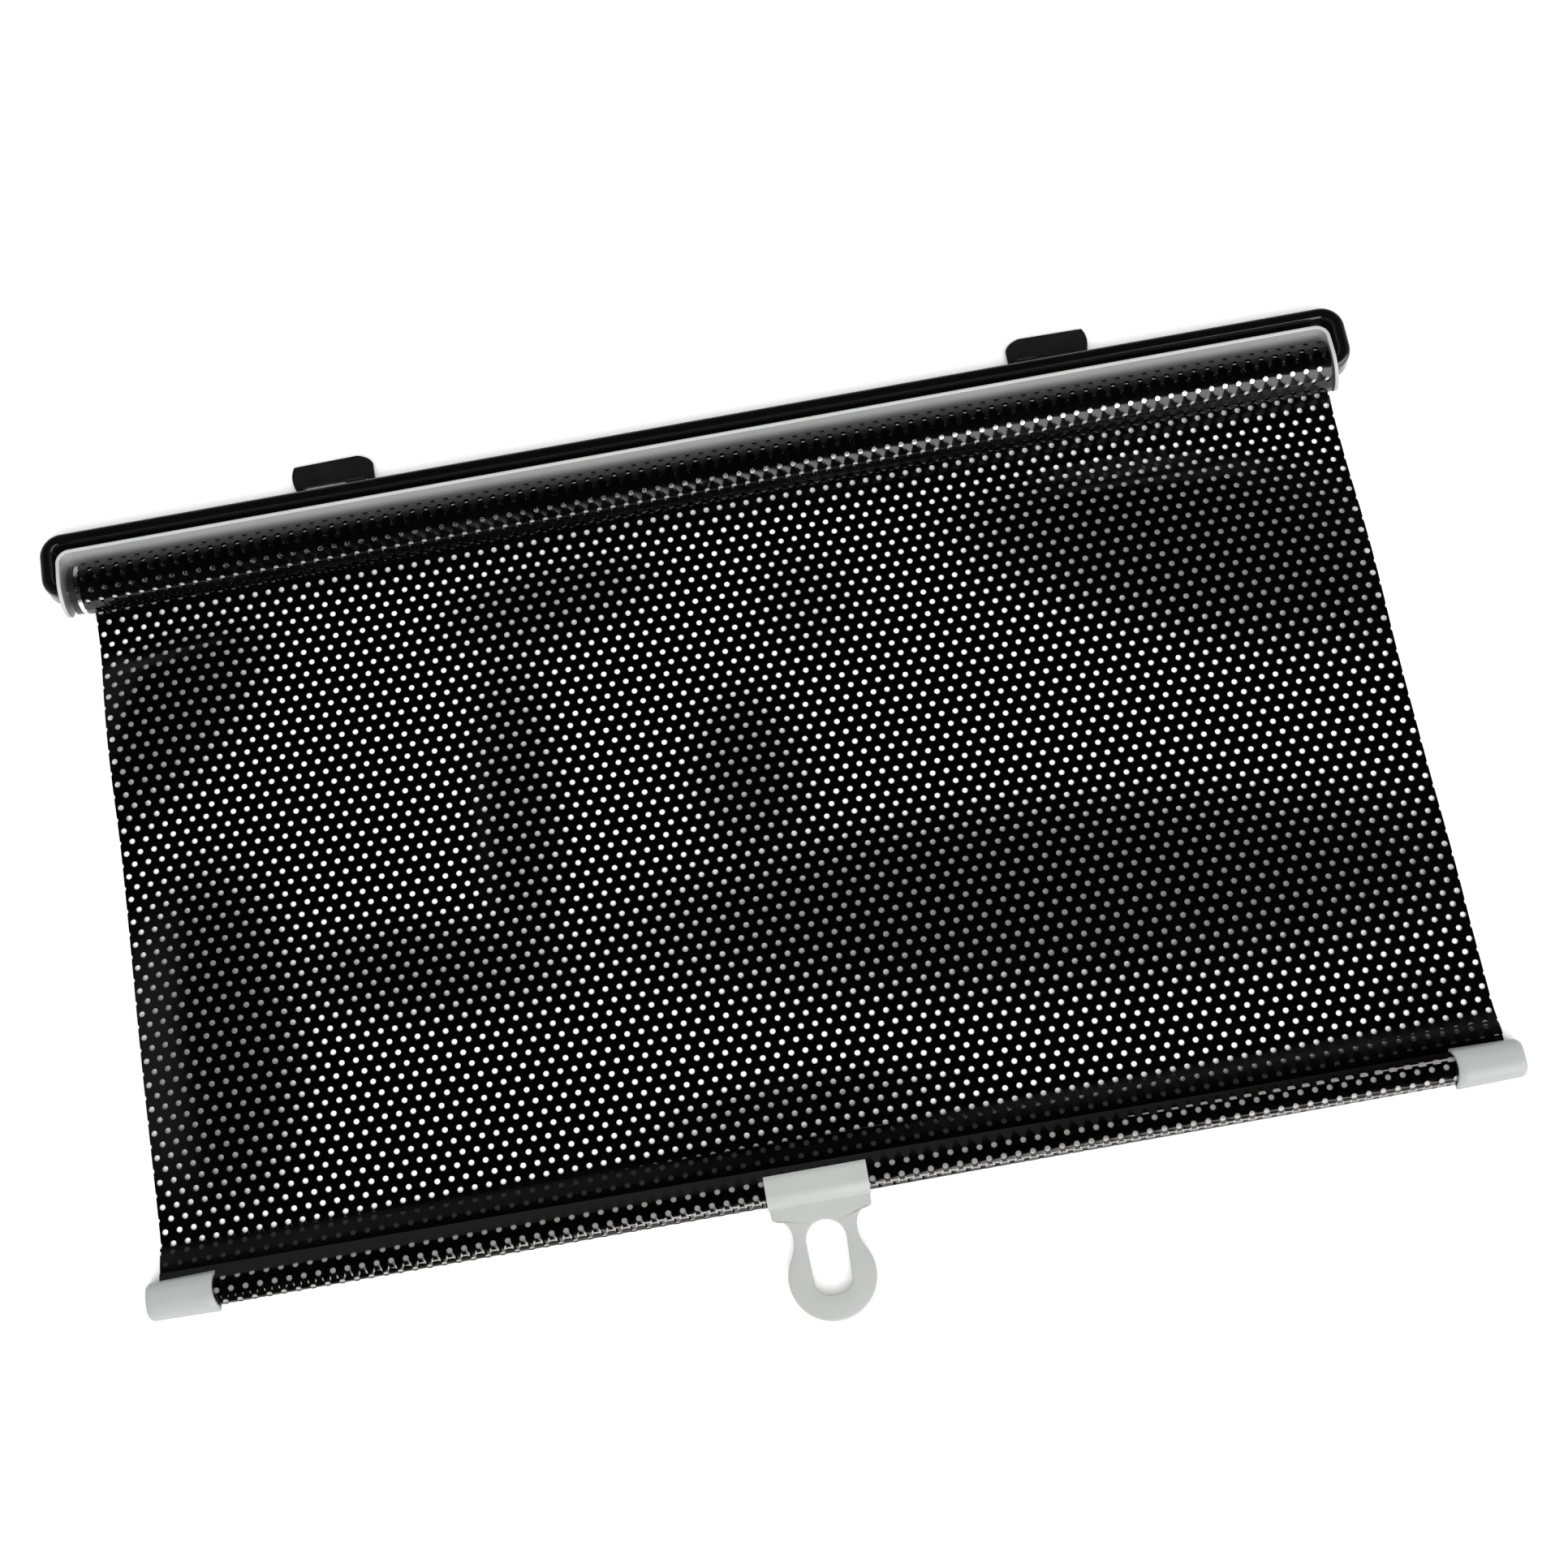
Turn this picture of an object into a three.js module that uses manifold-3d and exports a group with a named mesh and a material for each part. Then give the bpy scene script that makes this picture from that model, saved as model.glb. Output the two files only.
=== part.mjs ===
// Spring roller sunshade for a car's side window, lying on its back with the screen drawn out.
// Millimetres, +Z up. The origin is the centre of the rail's back face: +X runs along the rail,
// +Y points to the window's top edge and the screen is drawn out towards -Y.

import * as THREE from 'three';
import { mergeVertices } from 'three/addons/utils/BufferGeometryUtils.js';
import Module from 'manifold-3d';

const wasm = await Module();
wasm.setup();

// Rail: a black tray with a rounded rim
const RAIL_LENGTH = 492;
const RAIL_WIDTH = 25.6;
const RAIL_FLOOR = 2;
const RIM_HEIGHT = 9.3;
const RIM_WIDTH = 5;
const RIM_ROUNDING = 1.9;
const RAIL_CORNER = 8.5;
const RIM_OPENING_CLEARANCE = 0.6;

// Bracket: a folded channel of thin sheet with a D-shaped plate at each end
const BRACKET_INSET = 9.1;
const SHEET = 1.3;
const BRACKET_CORNER = 5;
const WALL_BELOW_ROLL = 1;
const PLATE_PROUD = 0.2;
const PLATE_FOOT = 1;
const FLANGE_DEPTH = 7.5;
const DIMPLE_RADIUS = 1.3;
const DIMPLE_DEPTH = 0.4;
const DIMPLE_FROM_TOP = 2.3;
const RIVET_COUNT = 4;
const RIVET_RADIUS = 1.5;
const RIVET_HEAD_RADIUS = 2.4;
const RIVET_HEAD_HEIGHT = 0.9;

// Roller: a metal tube on a pin at one end and on a spring arbor at the other
const ROLL_RADIUS = 9.4;
const ROLL_STEP = 0.25;
const ROLL_TURNS = 2;
const TUBE_WALL = 0.8;
const WALL_TO_ROLL = 2.2;
const ROLL_TO_RAIL = 0.4;
const IDLE_END_SPACE = 2.5;
const DRIVE_END_SPACE = 1.4;
const PLUG_FLANGE = 2.3;
const DRIVE_FLANGE = 0.6;
const PLUG_LENGTH = 14;
const PLUG_BOTTOM = 2;
const PLUG_RIBS = 6;
const PLUG_RIB_DEPTH = 0.6;
const HUB_RADIUS = 3;
const HUB_LENGTH = 1;
const PIN_RADIUS = 1.5;
const PIN_STICK_OUT = 0.9;
const ARBOR_RADIUS = 2;
const TONGUE_THICKNESS = 1.7;
const SPRING_TURNS = 20;
const SPRING_LENGTH = 58;
const SPRING_RADIUS = 4.8;
const SPRING_WIRE = 1.1;

// Screen: one sheet of perforated film from the roll to the bar
const FILM_CLEAR_LEFT = 7.2;
const FILM_CLEAR_RIGHT = 1.6;
const FILM_DRAWN = 258.5;
const FILM_THICKNESS = 0.4;
const FILM_SET_IN = 1;
const FILM_DRIFT = 2.2;
const TABLE_GAP = 0.3;
const ROLL_RUN = 18;
const BAR_RUN = 16;
const RIPPLE_RUN = 24;
const RIPPLE_SIZE = 50;
const RIPPLE_HEIGHT = 4.4;
const HOLE_RADIUS = 3;
const HOLE_PITCH = 32;
const HOLE_MARGIN = 14;

// Bar: a flat oval slat in the film's hem, with a cap on each end
const SLAT_WIDTH = 9.8;
const SLAT_THICKNESS = 5.2;
const SLAT_WALL = 0.9;
const SLAT_OVERHANG = 3.5;
const HEM_THICKNESS = 0.4;
const HEM_FLAP = 3;
const CAP_WALL = 1.4;
const CAP_LENGTH = 25;
const CAP_END = 3;
const CAP_FULLNESS = 0.72;
const CAP_MOUTH_RADIUS = 15;
const CAP_MOUTH_DEPTH = 1.6;
const CAP_LIP = 1;
const SPIGOT_LENGTH = 12;

// Pull tab: a clip over the bar with a ring
const TAB_OFF_CENTRE = -6.4;
const TAB_WIDTH = 35.2;
const TAB_WALL = 1;
const TAB_PLATE = 2.4;
const TAB_SHOULDER = 3.6;
const SHOULDER_SET_IN = 0.5;
const NECK_WIDTH = 21.8;
const NECK_FROM_CLIP = 11.2;
const NECK_TO_RING = 2.6;
const RING_RADIUS = 14.9;
const RING_FROM_CLIP = 25.2;
const RING_JOIN = 0.186;
const EYE_WIDTH = 14;
const EYE_FOOT_WIDTH = 12.8;
const EYE_FOOT_HEIGHT = 4.6;
const EYE_LENGTH = 25.8;
const EYE_FROM_CLIP = 5.7;

// Window clips: a blade beside the rail on a neck with a rolled step
const CLIP_SPACING = 251.4;
const CLIPS_OFF_CENTRE = 1.2;
const BLADE_LENGTH = 30.8;
const BLADE_HEIGHT = 9.1;
const BLADE_THICKNESS = 1.6;
const BLADE_BACK = 1.3;
const BLADE_SHOULDER = 5.5;
const BLADE_SHOULDER_DROP = 4;
const BLADE_SLOPE = 0.4;
const HOOK_DROP = 1.6;
const HOOK_WIDTH = 4;
const CLIP_NECK = 10.6;
const LEG_WIDTH = 2.6;
const LEG_SLIT = 0.8;
const SEAL_GAP_LEFT = 3.8;
const SEAL_GAP_RIGHT = 2.9;
const TONGUE_DEPTH = 4;
const STEP_RADIUS = 1.7;

// Clearances, facets, the overlap of joined forms and the run of a cut past its piece
const SEAT = 0.3;
const FIT = 0.15;
const ROUND = 40;
const SMALL_ROUND = 24;
const RIVET_ROUND = 16;
const CORNER_STEPS = 6;
const OVERLAP = 0.2;
const PAST = 2;

// Places that follow from the sizes
const railEdge = RAIL_WIDTH / 2;
const plateOuter = RAIL_LENGTH / 2 - BRACKET_INSET;
const plateInner = plateOuter - SHEET;
const wallInner = -SHEET;
const axisY = wallInner - WALL_TO_ROLL - ROLL_RADIUS;
const axisZ = RAIL_FLOOR + ROLL_TO_RAIL + ROLL_RADIUS;
const bracketTop = axisZ + ROLL_RADIUS - WALL_BELOW_ROLL;
const plateRadius = ROLL_RADIUS + PLATE_PROUD;
const rollInner = ROLL_RADIUS - ROLL_STEP * ROLL_TURNS;
const tubeRadius = rollInner - FIT;
const tubeInner = tubeRadius - TUBE_WALL;
const tubeLeft = -plateInner + IDLE_END_SPACE + PLUG_FLANGE;
const tubeRight = plateInner - DRIVE_END_SPACE;
const filmLeft = -plateInner + FILM_CLEAR_LEFT;
const filmRight = plateInner - FILM_CLEAR_RIGHT;
const filmWidth = filmRight - filmLeft;
const filmX = (filmLeft + filmRight) / 2;
const filmStart = axisY - FILM_SET_IN;
const barX = filmX + FILM_DRIFT;
const barY = axisY - FILM_DRAWN - SLAT_WIDTH / 2;
const hemHalfWidth = SLAT_WIDTH / 2 + FIT + HEM_THICKNESS;
const hemHalfHeight = SLAT_THICKNESS / 2 + FIT + HEM_THICKNESS;
const capHalfWidth = hemHalfWidth + SEAT + CAP_WALL;
const capHalfHeight = hemHalfHeight + SEAT + CAP_WALL;
const barZ = capHalfHeight;
const filmEnd = barY + hemHalfWidth + HEM_FLAP + SEAT;
const filmRun = filmStart - filmEnd;
const tabX = barX + TAB_OFF_CENTRE;
const tabHalfWidth = hemHalfWidth + SEAT + TAB_WALL;
const tabHalfHeight = hemHalfHeight + SEAT + TAB_WALL;
const tabFront = barY - tabHalfWidth;

const clips = [
  { name: 'clip_left', x: CLIPS_OFF_CENTRE - CLIP_SPACING / 2, side: -1, gap: SEAL_GAP_LEFT },
  { name: 'clip_right', x: CLIPS_OFF_CENTRE + CLIP_SPACING / 2, side: 1, gap: SEAL_GAP_RIGHT },
];

function material(color, roughness, metalness) {
  return new THREE.MeshStandardMaterial({ color, roughness, metalness });
}

const glossBlack = material(0x0b0b0c, 0.18, 0);
const clipBlack = material(0x1c1c1d, 0.45, 0);
const bracketGrey = material(0xb0b1b0, 0.5, 0.1);
const capGrey = material(0xc6c7c7, 0.45, 0);
const tabGrey = material(0xcdcecb, 0.5, 0);
const filmBlack = material(0x0a0a0b, 0.25, 0);
const brightMetal = material(0xd4d5d6, 0.25, 1);
const springSteel = material(0x8c8e90, 0.35, 1);
const plugBlack = material(0x18181a, 0.5, 0);

// Solids from closed three.js geometry, and back

function solid(geometry) {
  const bare = geometry.clone();
  for (const name of Object.keys(bare.attributes)) {
    if (name !== 'position') {
      bare.deleteAttribute(name);
    }
  }
  const merged = mergeVertices(bare, 1e-4);
  const vertProperties = new Float32Array(merged.attributes.position.array);
  const triVerts = new Uint32Array(merged.index.array);
  return new wasm.Manifold(new wasm.Mesh({ numProp: 3, vertProperties, triVerts }));
}

function geometryOf(body) {
  const mesh = body.getMesh();
  const geometry = new THREE.BufferGeometry();
  geometry.setAttribute('position', new THREE.BufferAttribute(mesh.vertProperties, 3));
  geometry.setIndex(new THREE.BufferAttribute(mesh.triVerts, 1));
  geometry.computeVertexNormals();
  return geometry;
}

function indexed(positions, index) {
  const geometry = new THREE.BufferGeometry();
  geometry.setAttribute('position', new THREE.Float32BufferAttribute(positions, 3));
  geometry.setIndex(index);
  return geometry;
}

// An outline drawn in Y and Z and carried along X

const outlineToX = new THREE.Matrix4().makeBasis(
  new THREE.Vector3(0, 1, 0),
  new THREE.Vector3(0, 0, 1),
  new THREE.Vector3(1, 0, 0),
);

function alongX(shape, x0, x1, curveSegments = CORNER_STEPS) {
  const left = Math.min(x0, x1);
  const depth = Math.abs(x1 - x0);
  const geometry = new THREE.ExtrudeGeometry(shape, { depth, bevelEnabled: false, curveSegments });
  geometry.applyMatrix4(outlineToX);
  geometry.translate(left, 0, 0);
  return geometry;
}

// An outline drawn in X and Y and raised along Z, with rounded edges where asked

function raised(shape, z0, z1, rounding = 0) {
  const options = {
    depth: z1 - z0 - 2 * rounding,
    bevelEnabled: rounding > 0,
    bevelSize: rounding,
    bevelThickness: rounding,
    bevelOffset: -rounding,
    bevelSegments: 3,
    curveSegments: CORNER_STEPS,
  };
  const geometry = new THREE.ExtrudeGeometry(shape, options);
  geometry.translate(0, 0, z0 + rounding);
  return geometry;
}

function block(x0, x1, y0, y1, z0, z1) {
  const geometry = new THREE.BoxGeometry(x1 - x0, y1 - y0, z1 - z0);
  geometry.translate((x0 + x1) / 2, (y0 + y1) / 2, (z0 + z1) / 2);
  return geometry;
}

function rodAlongX(radius, x0, x1, y, z, sides = ROUND) {
  const geometry = new THREE.CylinderGeometry(radius, radius, x1 - x0, sides);
  geometry.rotateZ(-Math.PI / 2);
  geometry.translate((x0 + x1) / 2, y, z);
  return geometry;
}

function rodAlongZ(radius, x, y, z0, z1, sides = ROUND) {
  const geometry = new THREE.CylinderGeometry(radius, radius, z1 - z0, sides);
  geometry.rotateX(Math.PI / 2);
  geometry.translate(x, y, (z0 + z1) / 2);
  return geometry;
}

function roundedRectangle(path, halfX, halfY, radius) {
  const x = halfX - radius;
  const y = halfY - radius;
  path.moveTo(halfX, y);
  path.absarc(x, y, radius, 0, Math.PI / 2, false);
  path.absarc(-x, y, radius, Math.PI / 2, Math.PI, false);
  path.absarc(-x, -y, radius, Math.PI, Math.PI * 1.5, false);
  path.absarc(x, -y, radius, Math.PI * 1.5, Math.PI * 2, false);
  path.closePath();
  return path;
}

// A flat oval round the bar's middle in Y and Z: straight faces and half-round edges

function flatOval(path, halfWidth, halfHeight) {
  const straight = halfWidth - halfHeight;
  path.absarc(barY + straight, barZ, halfHeight, -Math.PI / 2, Math.PI / 2, false);
  path.absarc(barY - straight, barZ, halfHeight, Math.PI / 2, Math.PI * 1.5, false);
  path.closePath();
  return path;
}

// Rail: floor plate and rim, open along the front between the bracket's ends,
// with a pocket in its far side for each clip's tongue

function rail() {
  const halfLength = RAIL_LENGTH / 2;
  const innerCorner = RAIL_CORNER - RIM_WIDTH;
  const plan = roundedRectangle(new THREE.Shape(), halfLength, railEdge, RAIL_CORNER);
  const ring = roundedRectangle(new THREE.Shape(), halfLength, railEdge, RAIL_CORNER);
  const inside = new THREE.Path();
  roundedRectangle(inside, halfLength - RIM_WIDTH, railEdge - RIM_WIDTH, innerCorner);
  ring.holes.push(inside);
  const rim = solid(raised(ring, -RIM_HEIGHT, RIM_HEIGHT, RIM_ROUNDING));
  const below = block(-halfLength, halfLength, -railEdge, railEdge, -RIM_HEIGHT, 0);
  const halfOpening = plateOuter + RIM_OPENING_CLEARANCE;
  const rimInner = RIM_WIDTH - railEdge + OVERLAP;
  const openFront = block(
    -halfOpening,
    halfOpening,
    -railEdge - PAST,
    rimInner,
    RAIL_FLOOR,
    RIM_HEIGHT + PAST,
  );
  let body = rim.subtract(solid(below)).subtract(solid(openFront));
  body = body.add(solid(raised(plan, 0, RAIL_FLOOR)));
  const half = CLIP_NECK / 2 + SEAT;
  const floor = BLADE_BACK - SEAT;
  const roof = BLADE_BACK + BLADE_THICKNESS + SEAT;
  const deepest = railEdge - TONGUE_DEPTH - SEAT;
  for (const { x } of clips) {
    const pocket = block(x - half, x + half, deepest, railEdge + PAST, floor, roof);
    body = body.subtract(solid(pocket));
  }
  return geometryOf(body);
}

// Bracket: back wall, end plates round the roller's axis, and a flange on the rail's floor

const rivetX = (index) => (index - (RIVET_COUNT - 1) / 2) * ((2 * plateOuter) / RIVET_COUNT);
const rivetY = -FLANGE_DEPTH / 2 - SHEET / 2;

function bracketPlan() {
  const far = plateRadius * 3;
  const bend = BRACKET_CORNER - SHEET;
  const innerX = plateInner - bend;
  const innerY = wallInner - bend;
  const outerX = plateOuter - BRACKET_CORNER;
  const plan = new THREE.Shape();
  plan.moveTo(-plateOuter, -far);
  plan.lineTo(-plateInner, -far);
  plan.lineTo(-plateInner, innerY);
  plan.absarc(-innerX, innerY, bend, Math.PI, Math.PI / 2, true);
  plan.absarc(innerX, innerY, bend, Math.PI / 2, 0, true);
  plan.lineTo(plateInner, -far);
  plan.lineTo(plateOuter, -far);
  plan.absarc(outerX, -BRACKET_CORNER, BRACKET_CORNER, 0, Math.PI / 2, false);
  plan.absarc(-outerX, -BRACKET_CORNER, BRACKET_CORNER, Math.PI / 2, Math.PI, false);
  plan.closePath();
  return plan;
}

function bracket() {
  const side = new THREE.Shape();
  side.moveTo(PAST, RAIL_FLOOR);
  side.lineTo(PAST, bracketTop);
  side.lineTo(wallInner, bracketTop);
  side.lineTo(axisY, axisZ + plateRadius);
  side.absarc(axisY, axisZ, plateRadius, Math.PI / 2, Math.PI * 1.42, false);
  side.lineTo(axisY + PLATE_FOOT, RAIL_FLOOR);
  side.closePath();
  const walls = solid(raised(bracketPlan(), 0, axisZ + plateRadius + PAST));
  let body = walls.intersect(solid(alongX(side, -plateOuter - PAST, plateOuter + PAST)));

  const flangeX = plateInner + OVERLAP;
  const flangeTop = RAIL_FLOOR + SHEET;
  const flange = block(-flangeX, flangeX, -FLANGE_DEPTH, -SHEET / 2, RAIL_FLOOR, flangeTop);
  body = body.add(solid(flange));
  const holeEnd = -plateOuter - PAST;
  const pinHole = rodAlongX(PIN_RADIUS + SEAT, holeEnd, PAST - plateInner, axisY, axisZ, SMALL_ROUND);
  body = body.subtract(solid(pinHole));
  const slotY = TONGUE_THICKNESS / 2 + SEAT;
  const slotZ = ARBOR_RADIUS + SEAT;
  const slotLeft = plateInner - PAST;
  const slotRight = plateOuter + PAST;
  const slot = block(slotLeft, slotRight, axisY - slotY, axisY + slotY, axisZ - slotZ, axisZ + slotZ);
  body = body.subtract(solid(slot));
  for (const { x } of clips) {
    const dimple = new THREE.CylinderGeometry(
      DIMPLE_RADIUS,
      DIMPLE_RADIUS,
      DIMPLE_DEPTH * 2,
      RIVET_ROUND,
    );
    dimple.translate(x, wallInner, bracketTop - DIMPLE_FROM_TOP);
    body = body.subtract(solid(dimple));
  }
  const low = RAIL_FLOOR - PAST;
  for (let index = 0; index < RIVET_COUNT; index += 1) {
    const x = rivetX(index);
    const hole = rodAlongZ(RIVET_RADIUS + FIT, x, rivetY, low, flangeTop + PAST, RIVET_ROUND);
    body = body.subtract(solid(hole));
  }
  return geometryOf(body);
}

// Rivet: a low domed head on the flange and a shank down to the rail's floor

function rivet(x) {
  const top = RAIL_FLOOR + SHEET;
  const points = [
    new THREE.Vector2(0, RAIL_FLOOR),
    new THREE.Vector2(RIVET_RADIUS, RAIL_FLOOR),
    new THREE.Vector2(RIVET_RADIUS, top),
    new THREE.Vector2(RIVET_HEAD_RADIUS, top),
    new THREE.Vector2(RIVET_HEAD_RADIUS, top + RIVET_HEAD_HEIGHT * 0.4),
    new THREE.Vector2(RIVET_HEAD_RADIUS * 0.75, top + RIVET_HEAD_HEIGHT * 0.85),
    new THREE.Vector2(0, top + RIVET_HEAD_HEIGHT),
  ];
  const geometry = new THREE.LatheGeometry(points, RIVET_ROUND);
  geometry.rotateX(Math.PI / 2);
  geometry.translate(x, rivetY, 0);
  return geometry;
}

// Clip: blade, outer hook, leg, rolled step and tongue. The outline is the left clip's, and its
// points are mirrored for the right one; side is -1 on the left and 1 on the right.

function clip({ x, side, gap }) {
  const inner = CLIP_NECK / 2;
  const outer = inner - BLADE_LENGTH;
  const low = railEdge + gap;
  const high = low + BLADE_HEIGHT;
  const middle = (low + high) / 2;
  const hookLow = low - HOOK_DROP;
  const corner = BLADE_SLOPE * 3;
  const drawn = new THREE.Shape();
  drawn.moveTo(inner, railEdge - TONGUE_DEPTH);
  drawn.lineTo(inner, high - BLADE_SHOULDER_DROP);
  drawn.quadraticCurveTo(inner - corner, high - corner, inner - BLADE_SHOULDER, high);
  drawn.lineTo(outer + corner, high - BLADE_SLOPE);
  drawn.quadraticCurveTo(outer - corner, middle, outer + corner, hookLow);
  drawn.lineTo(outer + HOOK_WIDTH - BLADE_SLOPE, hookLow + BLADE_SLOPE);
  drawn.quadraticCurveTo(outer + HOOK_WIDTH, low, outer + HOOK_WIDTH + corner, low);
  drawn.lineTo(-inner, low);
  drawn.lineTo(-inner, railEdge - TONGUE_DEPTH);
  const points = drawn.getPoints(CORNER_STEPS);
  const place = (value) => -side * value;
  const mirrored = points.map((point) => new THREE.Vector2(place(point.x), point.y));
  const plan = new THREE.Shape(side > 0 ? mirrored.reverse() : mirrored);

  const top = BLADE_BACK + BLADE_THICKNESS;
  const stepY = railEdge + SEAT + STEP_RADIUS;
  const slit = [place(inner - LEG_WIDTH), place(inner - LEG_WIDTH - LEG_SLIT)];
  const stepX = [place(-inner), place(inner - LEG_WIDTH - LEG_SLIT)];
  const step = rodAlongX(STEP_RADIUS, Math.min(...stepX), Math.max(...stepX), stepY, top, RIVET_ROUND);
  const cut = block(
    Math.min(...slit),
    Math.max(...slit),
    railEdge + SEAT,
    stepY + STEP_RADIUS,
    BLADE_BACK - PAST,
    top + PAST * 2,
  );
  const body = solid(raised(plan, BLADE_BACK, top)).add(solid(step)).subtract(solid(cut));
  const geometry = geometryOf(body);
  geometry.translate(x, 0, 0);
  return geometry;
}

// Roller tube

function tube() {
  const shape = new THREE.Shape();
  shape.absarc(axisY, axisZ, tubeRadius, 0, Math.PI * 2, false);
  const bore = new THREE.Path();
  bore.absarc(axisY, axisZ, tubeInner, 0, Math.PI * 2, false);
  shape.holes.push(bore);
  return alongX(shape, tubeLeft, tubeRight, ROUND / 2);
}

// Turns of film left on the tube: a sleeve whose outside grows by one film step in each turn

function filmRoll() {
  const outer = [];
  const inner = [];
  const polar = (radius, angle) => {
    return new THREE.Vector2(axisY + radius * Math.cos(angle), axisZ + radius * Math.sin(angle));
  };
  for (let index = 0; index < ROUND; index += 1) {
    const turn = index / ROUND;
    const angle = (turn * 2 - 0.5) * Math.PI;
    outer.push(polar(ROLL_RADIUS - ROLL_STEP * turn, angle));
    inner.push(polar(rollInner, angle));
  }
  const shape = new THREE.Shape(outer);
  shape.holes.push(new THREE.Path(inner));
  return alongX(shape, filmLeft, filmRight);
}

// Ribbed plug outline round the roller's axis

function ribbedPlug(x0, x1) {
  const radius = tubeInner - FIT;
  const points = [];
  const steps = PLUG_RIBS * 6;
  for (let index = 0; index < steps; index += 1) {
    const angle = (index / steps) * Math.PI * 2;
    const reach = index % 6 < 3 ? radius : radius - PLUG_RIB_DEPTH;
    points.push(new THREE.Vector2(axisY + reach * Math.cos(angle), axisZ + reach * Math.sin(angle)));
  }
  return alongX(new THREE.Shape(points), x0, x1);
}

const idlePlugEnd = tubeLeft + PLUG_LENGTH;

function idlePlug() {
  const flangeLeft = tubeLeft - PLUG_FLANGE;
  const hubLeft = flangeLeft - HUB_LENGTH;
  const boreEnd = idlePlugEnd - PLUG_BOTTOM;
  const flange = rodAlongX(tubeRadius + FIT, flangeLeft, tubeLeft - FIT, axisY, axisZ);
  const hub = rodAlongX(HUB_RADIUS, hubLeft, tubeLeft, axisY, axisZ, SMALL_ROUND);
  const spigot = ribbedPlug(tubeLeft - FIT - OVERLAP, idlePlugEnd);
  const bore = rodAlongX(PIN_RADIUS + FIT, hubLeft - PAST, boreEnd, axisY, axisZ, SMALL_ROUND);
  return geometryOf(solid(flange).add(solid(spigot)).add(solid(hub)).subtract(solid(bore)));
}

function idlePin() {
  const left = -plateOuter - PIN_STICK_OUT;
  const right = idlePlugEnd - PLUG_BOTTOM - SEAT;
  return rodAlongX(PIN_RADIUS, left, right, axisY, axisZ, SMALL_ROUND);
}

const springPlugLeft = tubeRight - PLUG_LENGTH;
const springEndGap = SEAT + SPRING_WIRE / 2;
const springRight = springPlugLeft - springEndGap;
const springLeft = springRight - SPRING_LENGTH;
const anchorRight = springLeft - springEndGap;
const anchorLeft = anchorRight - PLUG_LENGTH;
const arborLeft = (anchorLeft + anchorRight) / 2;

function springPlug() {
  const flangeLeft = tubeRight + FIT;
  const flangeRight = flangeLeft + DRIVE_FLANGE;
  const flange = rodAlongX(tubeRadius, flangeLeft, flangeRight, axisY, axisZ);
  const spigot = ribbedPlug(springPlugLeft, flangeLeft + OVERLAP);
  const left = springPlugLeft - PAST;
  const bore = rodAlongX(ARBOR_RADIUS + SEAT, left, flangeRight + PAST, axisY, axisZ, SMALL_ROUND);
  return geometryOf(solid(flange).add(solid(spigot)).subtract(solid(bore)));
}

function anchorPlug() {
  const plug = ribbedPlug(anchorLeft, anchorRight);
  const right = anchorRight + PAST;
  const bore = rodAlongX(ARBOR_RADIUS + SEAT, arborLeft, right, axisY, axisZ, SMALL_ROUND);
  return geometryOf(solid(plug).subtract(solid(bore)));
}

// Arbor: a round shaft whose flat tongue sits in the right end plate and stops it turning

function springArbor() {
  const left = arborLeft + SEAT;
  const right = plateOuter + PIN_STICK_OUT;
  const shaft = solid(rodAlongX(ARBOR_RADIUS, left, right, axisY, axisZ, SMALL_ROUND));
  const start = plateInner - SEAT * 2;
  const half = TONGUE_THICKNESS / 2;
  const far = ARBOR_RADIUS + PAST;
  const end = right + PAST;
  const front = block(start, end, axisY - far, axisY - half, axisZ - far, axisZ + far);
  const back = block(start, end, axisY + half, axisY + far, axisZ - far, axisZ + far);
  return geometryOf(shaft.subtract(solid(front)).subtract(solid(back)));
}

class Helix extends THREE.Curve {
  getPoint(t, target = new THREE.Vector3()) {
    const angle = t * SPRING_TURNS * Math.PI * 2;
    return target.set(
      springLeft + t * SPRING_LENGTH,
      axisY + SPRING_RADIUS * Math.cos(angle),
      axisZ + SPRING_RADIUS * Math.sin(angle),
    );
  }
}

function torsionSpring() {
  const sides = 5;
  const stepsInTurn = 10;
  const section = [];
  for (let index = 0; index < sides; index += 1) {
    const angle = (index / sides) * Math.PI * 2;
    const point = new THREE.Vector2(Math.cos(angle), Math.sin(angle));
    section.push(point.multiplyScalar(SPRING_WIRE / 2));
  }
  const steps = SPRING_TURNS * stepsInTurn;
  const options = { steps, extrudePath: new Helix(), bevelEnabled: false };
  return new THREE.ExtrudeGeometry(new THREE.Shape(section), options);
}

// Screen: height of the film's underside above the table. It comes down from the roll, lies in
// low ripples with flat tops and climbs to the bar. A ripple's place is a share of the film's width
// from its middle and of its run from the roll; its length and width are in ripple sizes and its
// height in ripple heights.

const ripples = [
  { across: -0.44, down: 0.18, long: 1.05, wide: 0.5, turn: 39, height: 1 },
  { across: -0.43, down: 0.68, long: 1.05, wide: 0.52, turn: 88, height: 1 },
  { across: -0.24, down: 0.68, long: 0.95, wide: 0.34, turn: -4, height: 0.35 },
  { across: -0.18, down: 0.44, long: 1.6, wide: 0.32, turn: 88, height: 0.3 },
  { across: 0.22, down: 0.68, long: 2.35, wide: 0.58, turn: -6, height: 1 },
  { across: 0, down: 0.45, long: 0.6, wide: 0.34, turn: 88, height: 0.5 },
  { across: 0.38, down: 0.18, long: 1.15, wide: 0.62, turn: -28, height: 1 },
];

const smooth = (t) => {
  const s = Math.min(Math.max(t, 0), 1);
  return s * s * (3 - 2 * s);
};

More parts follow.
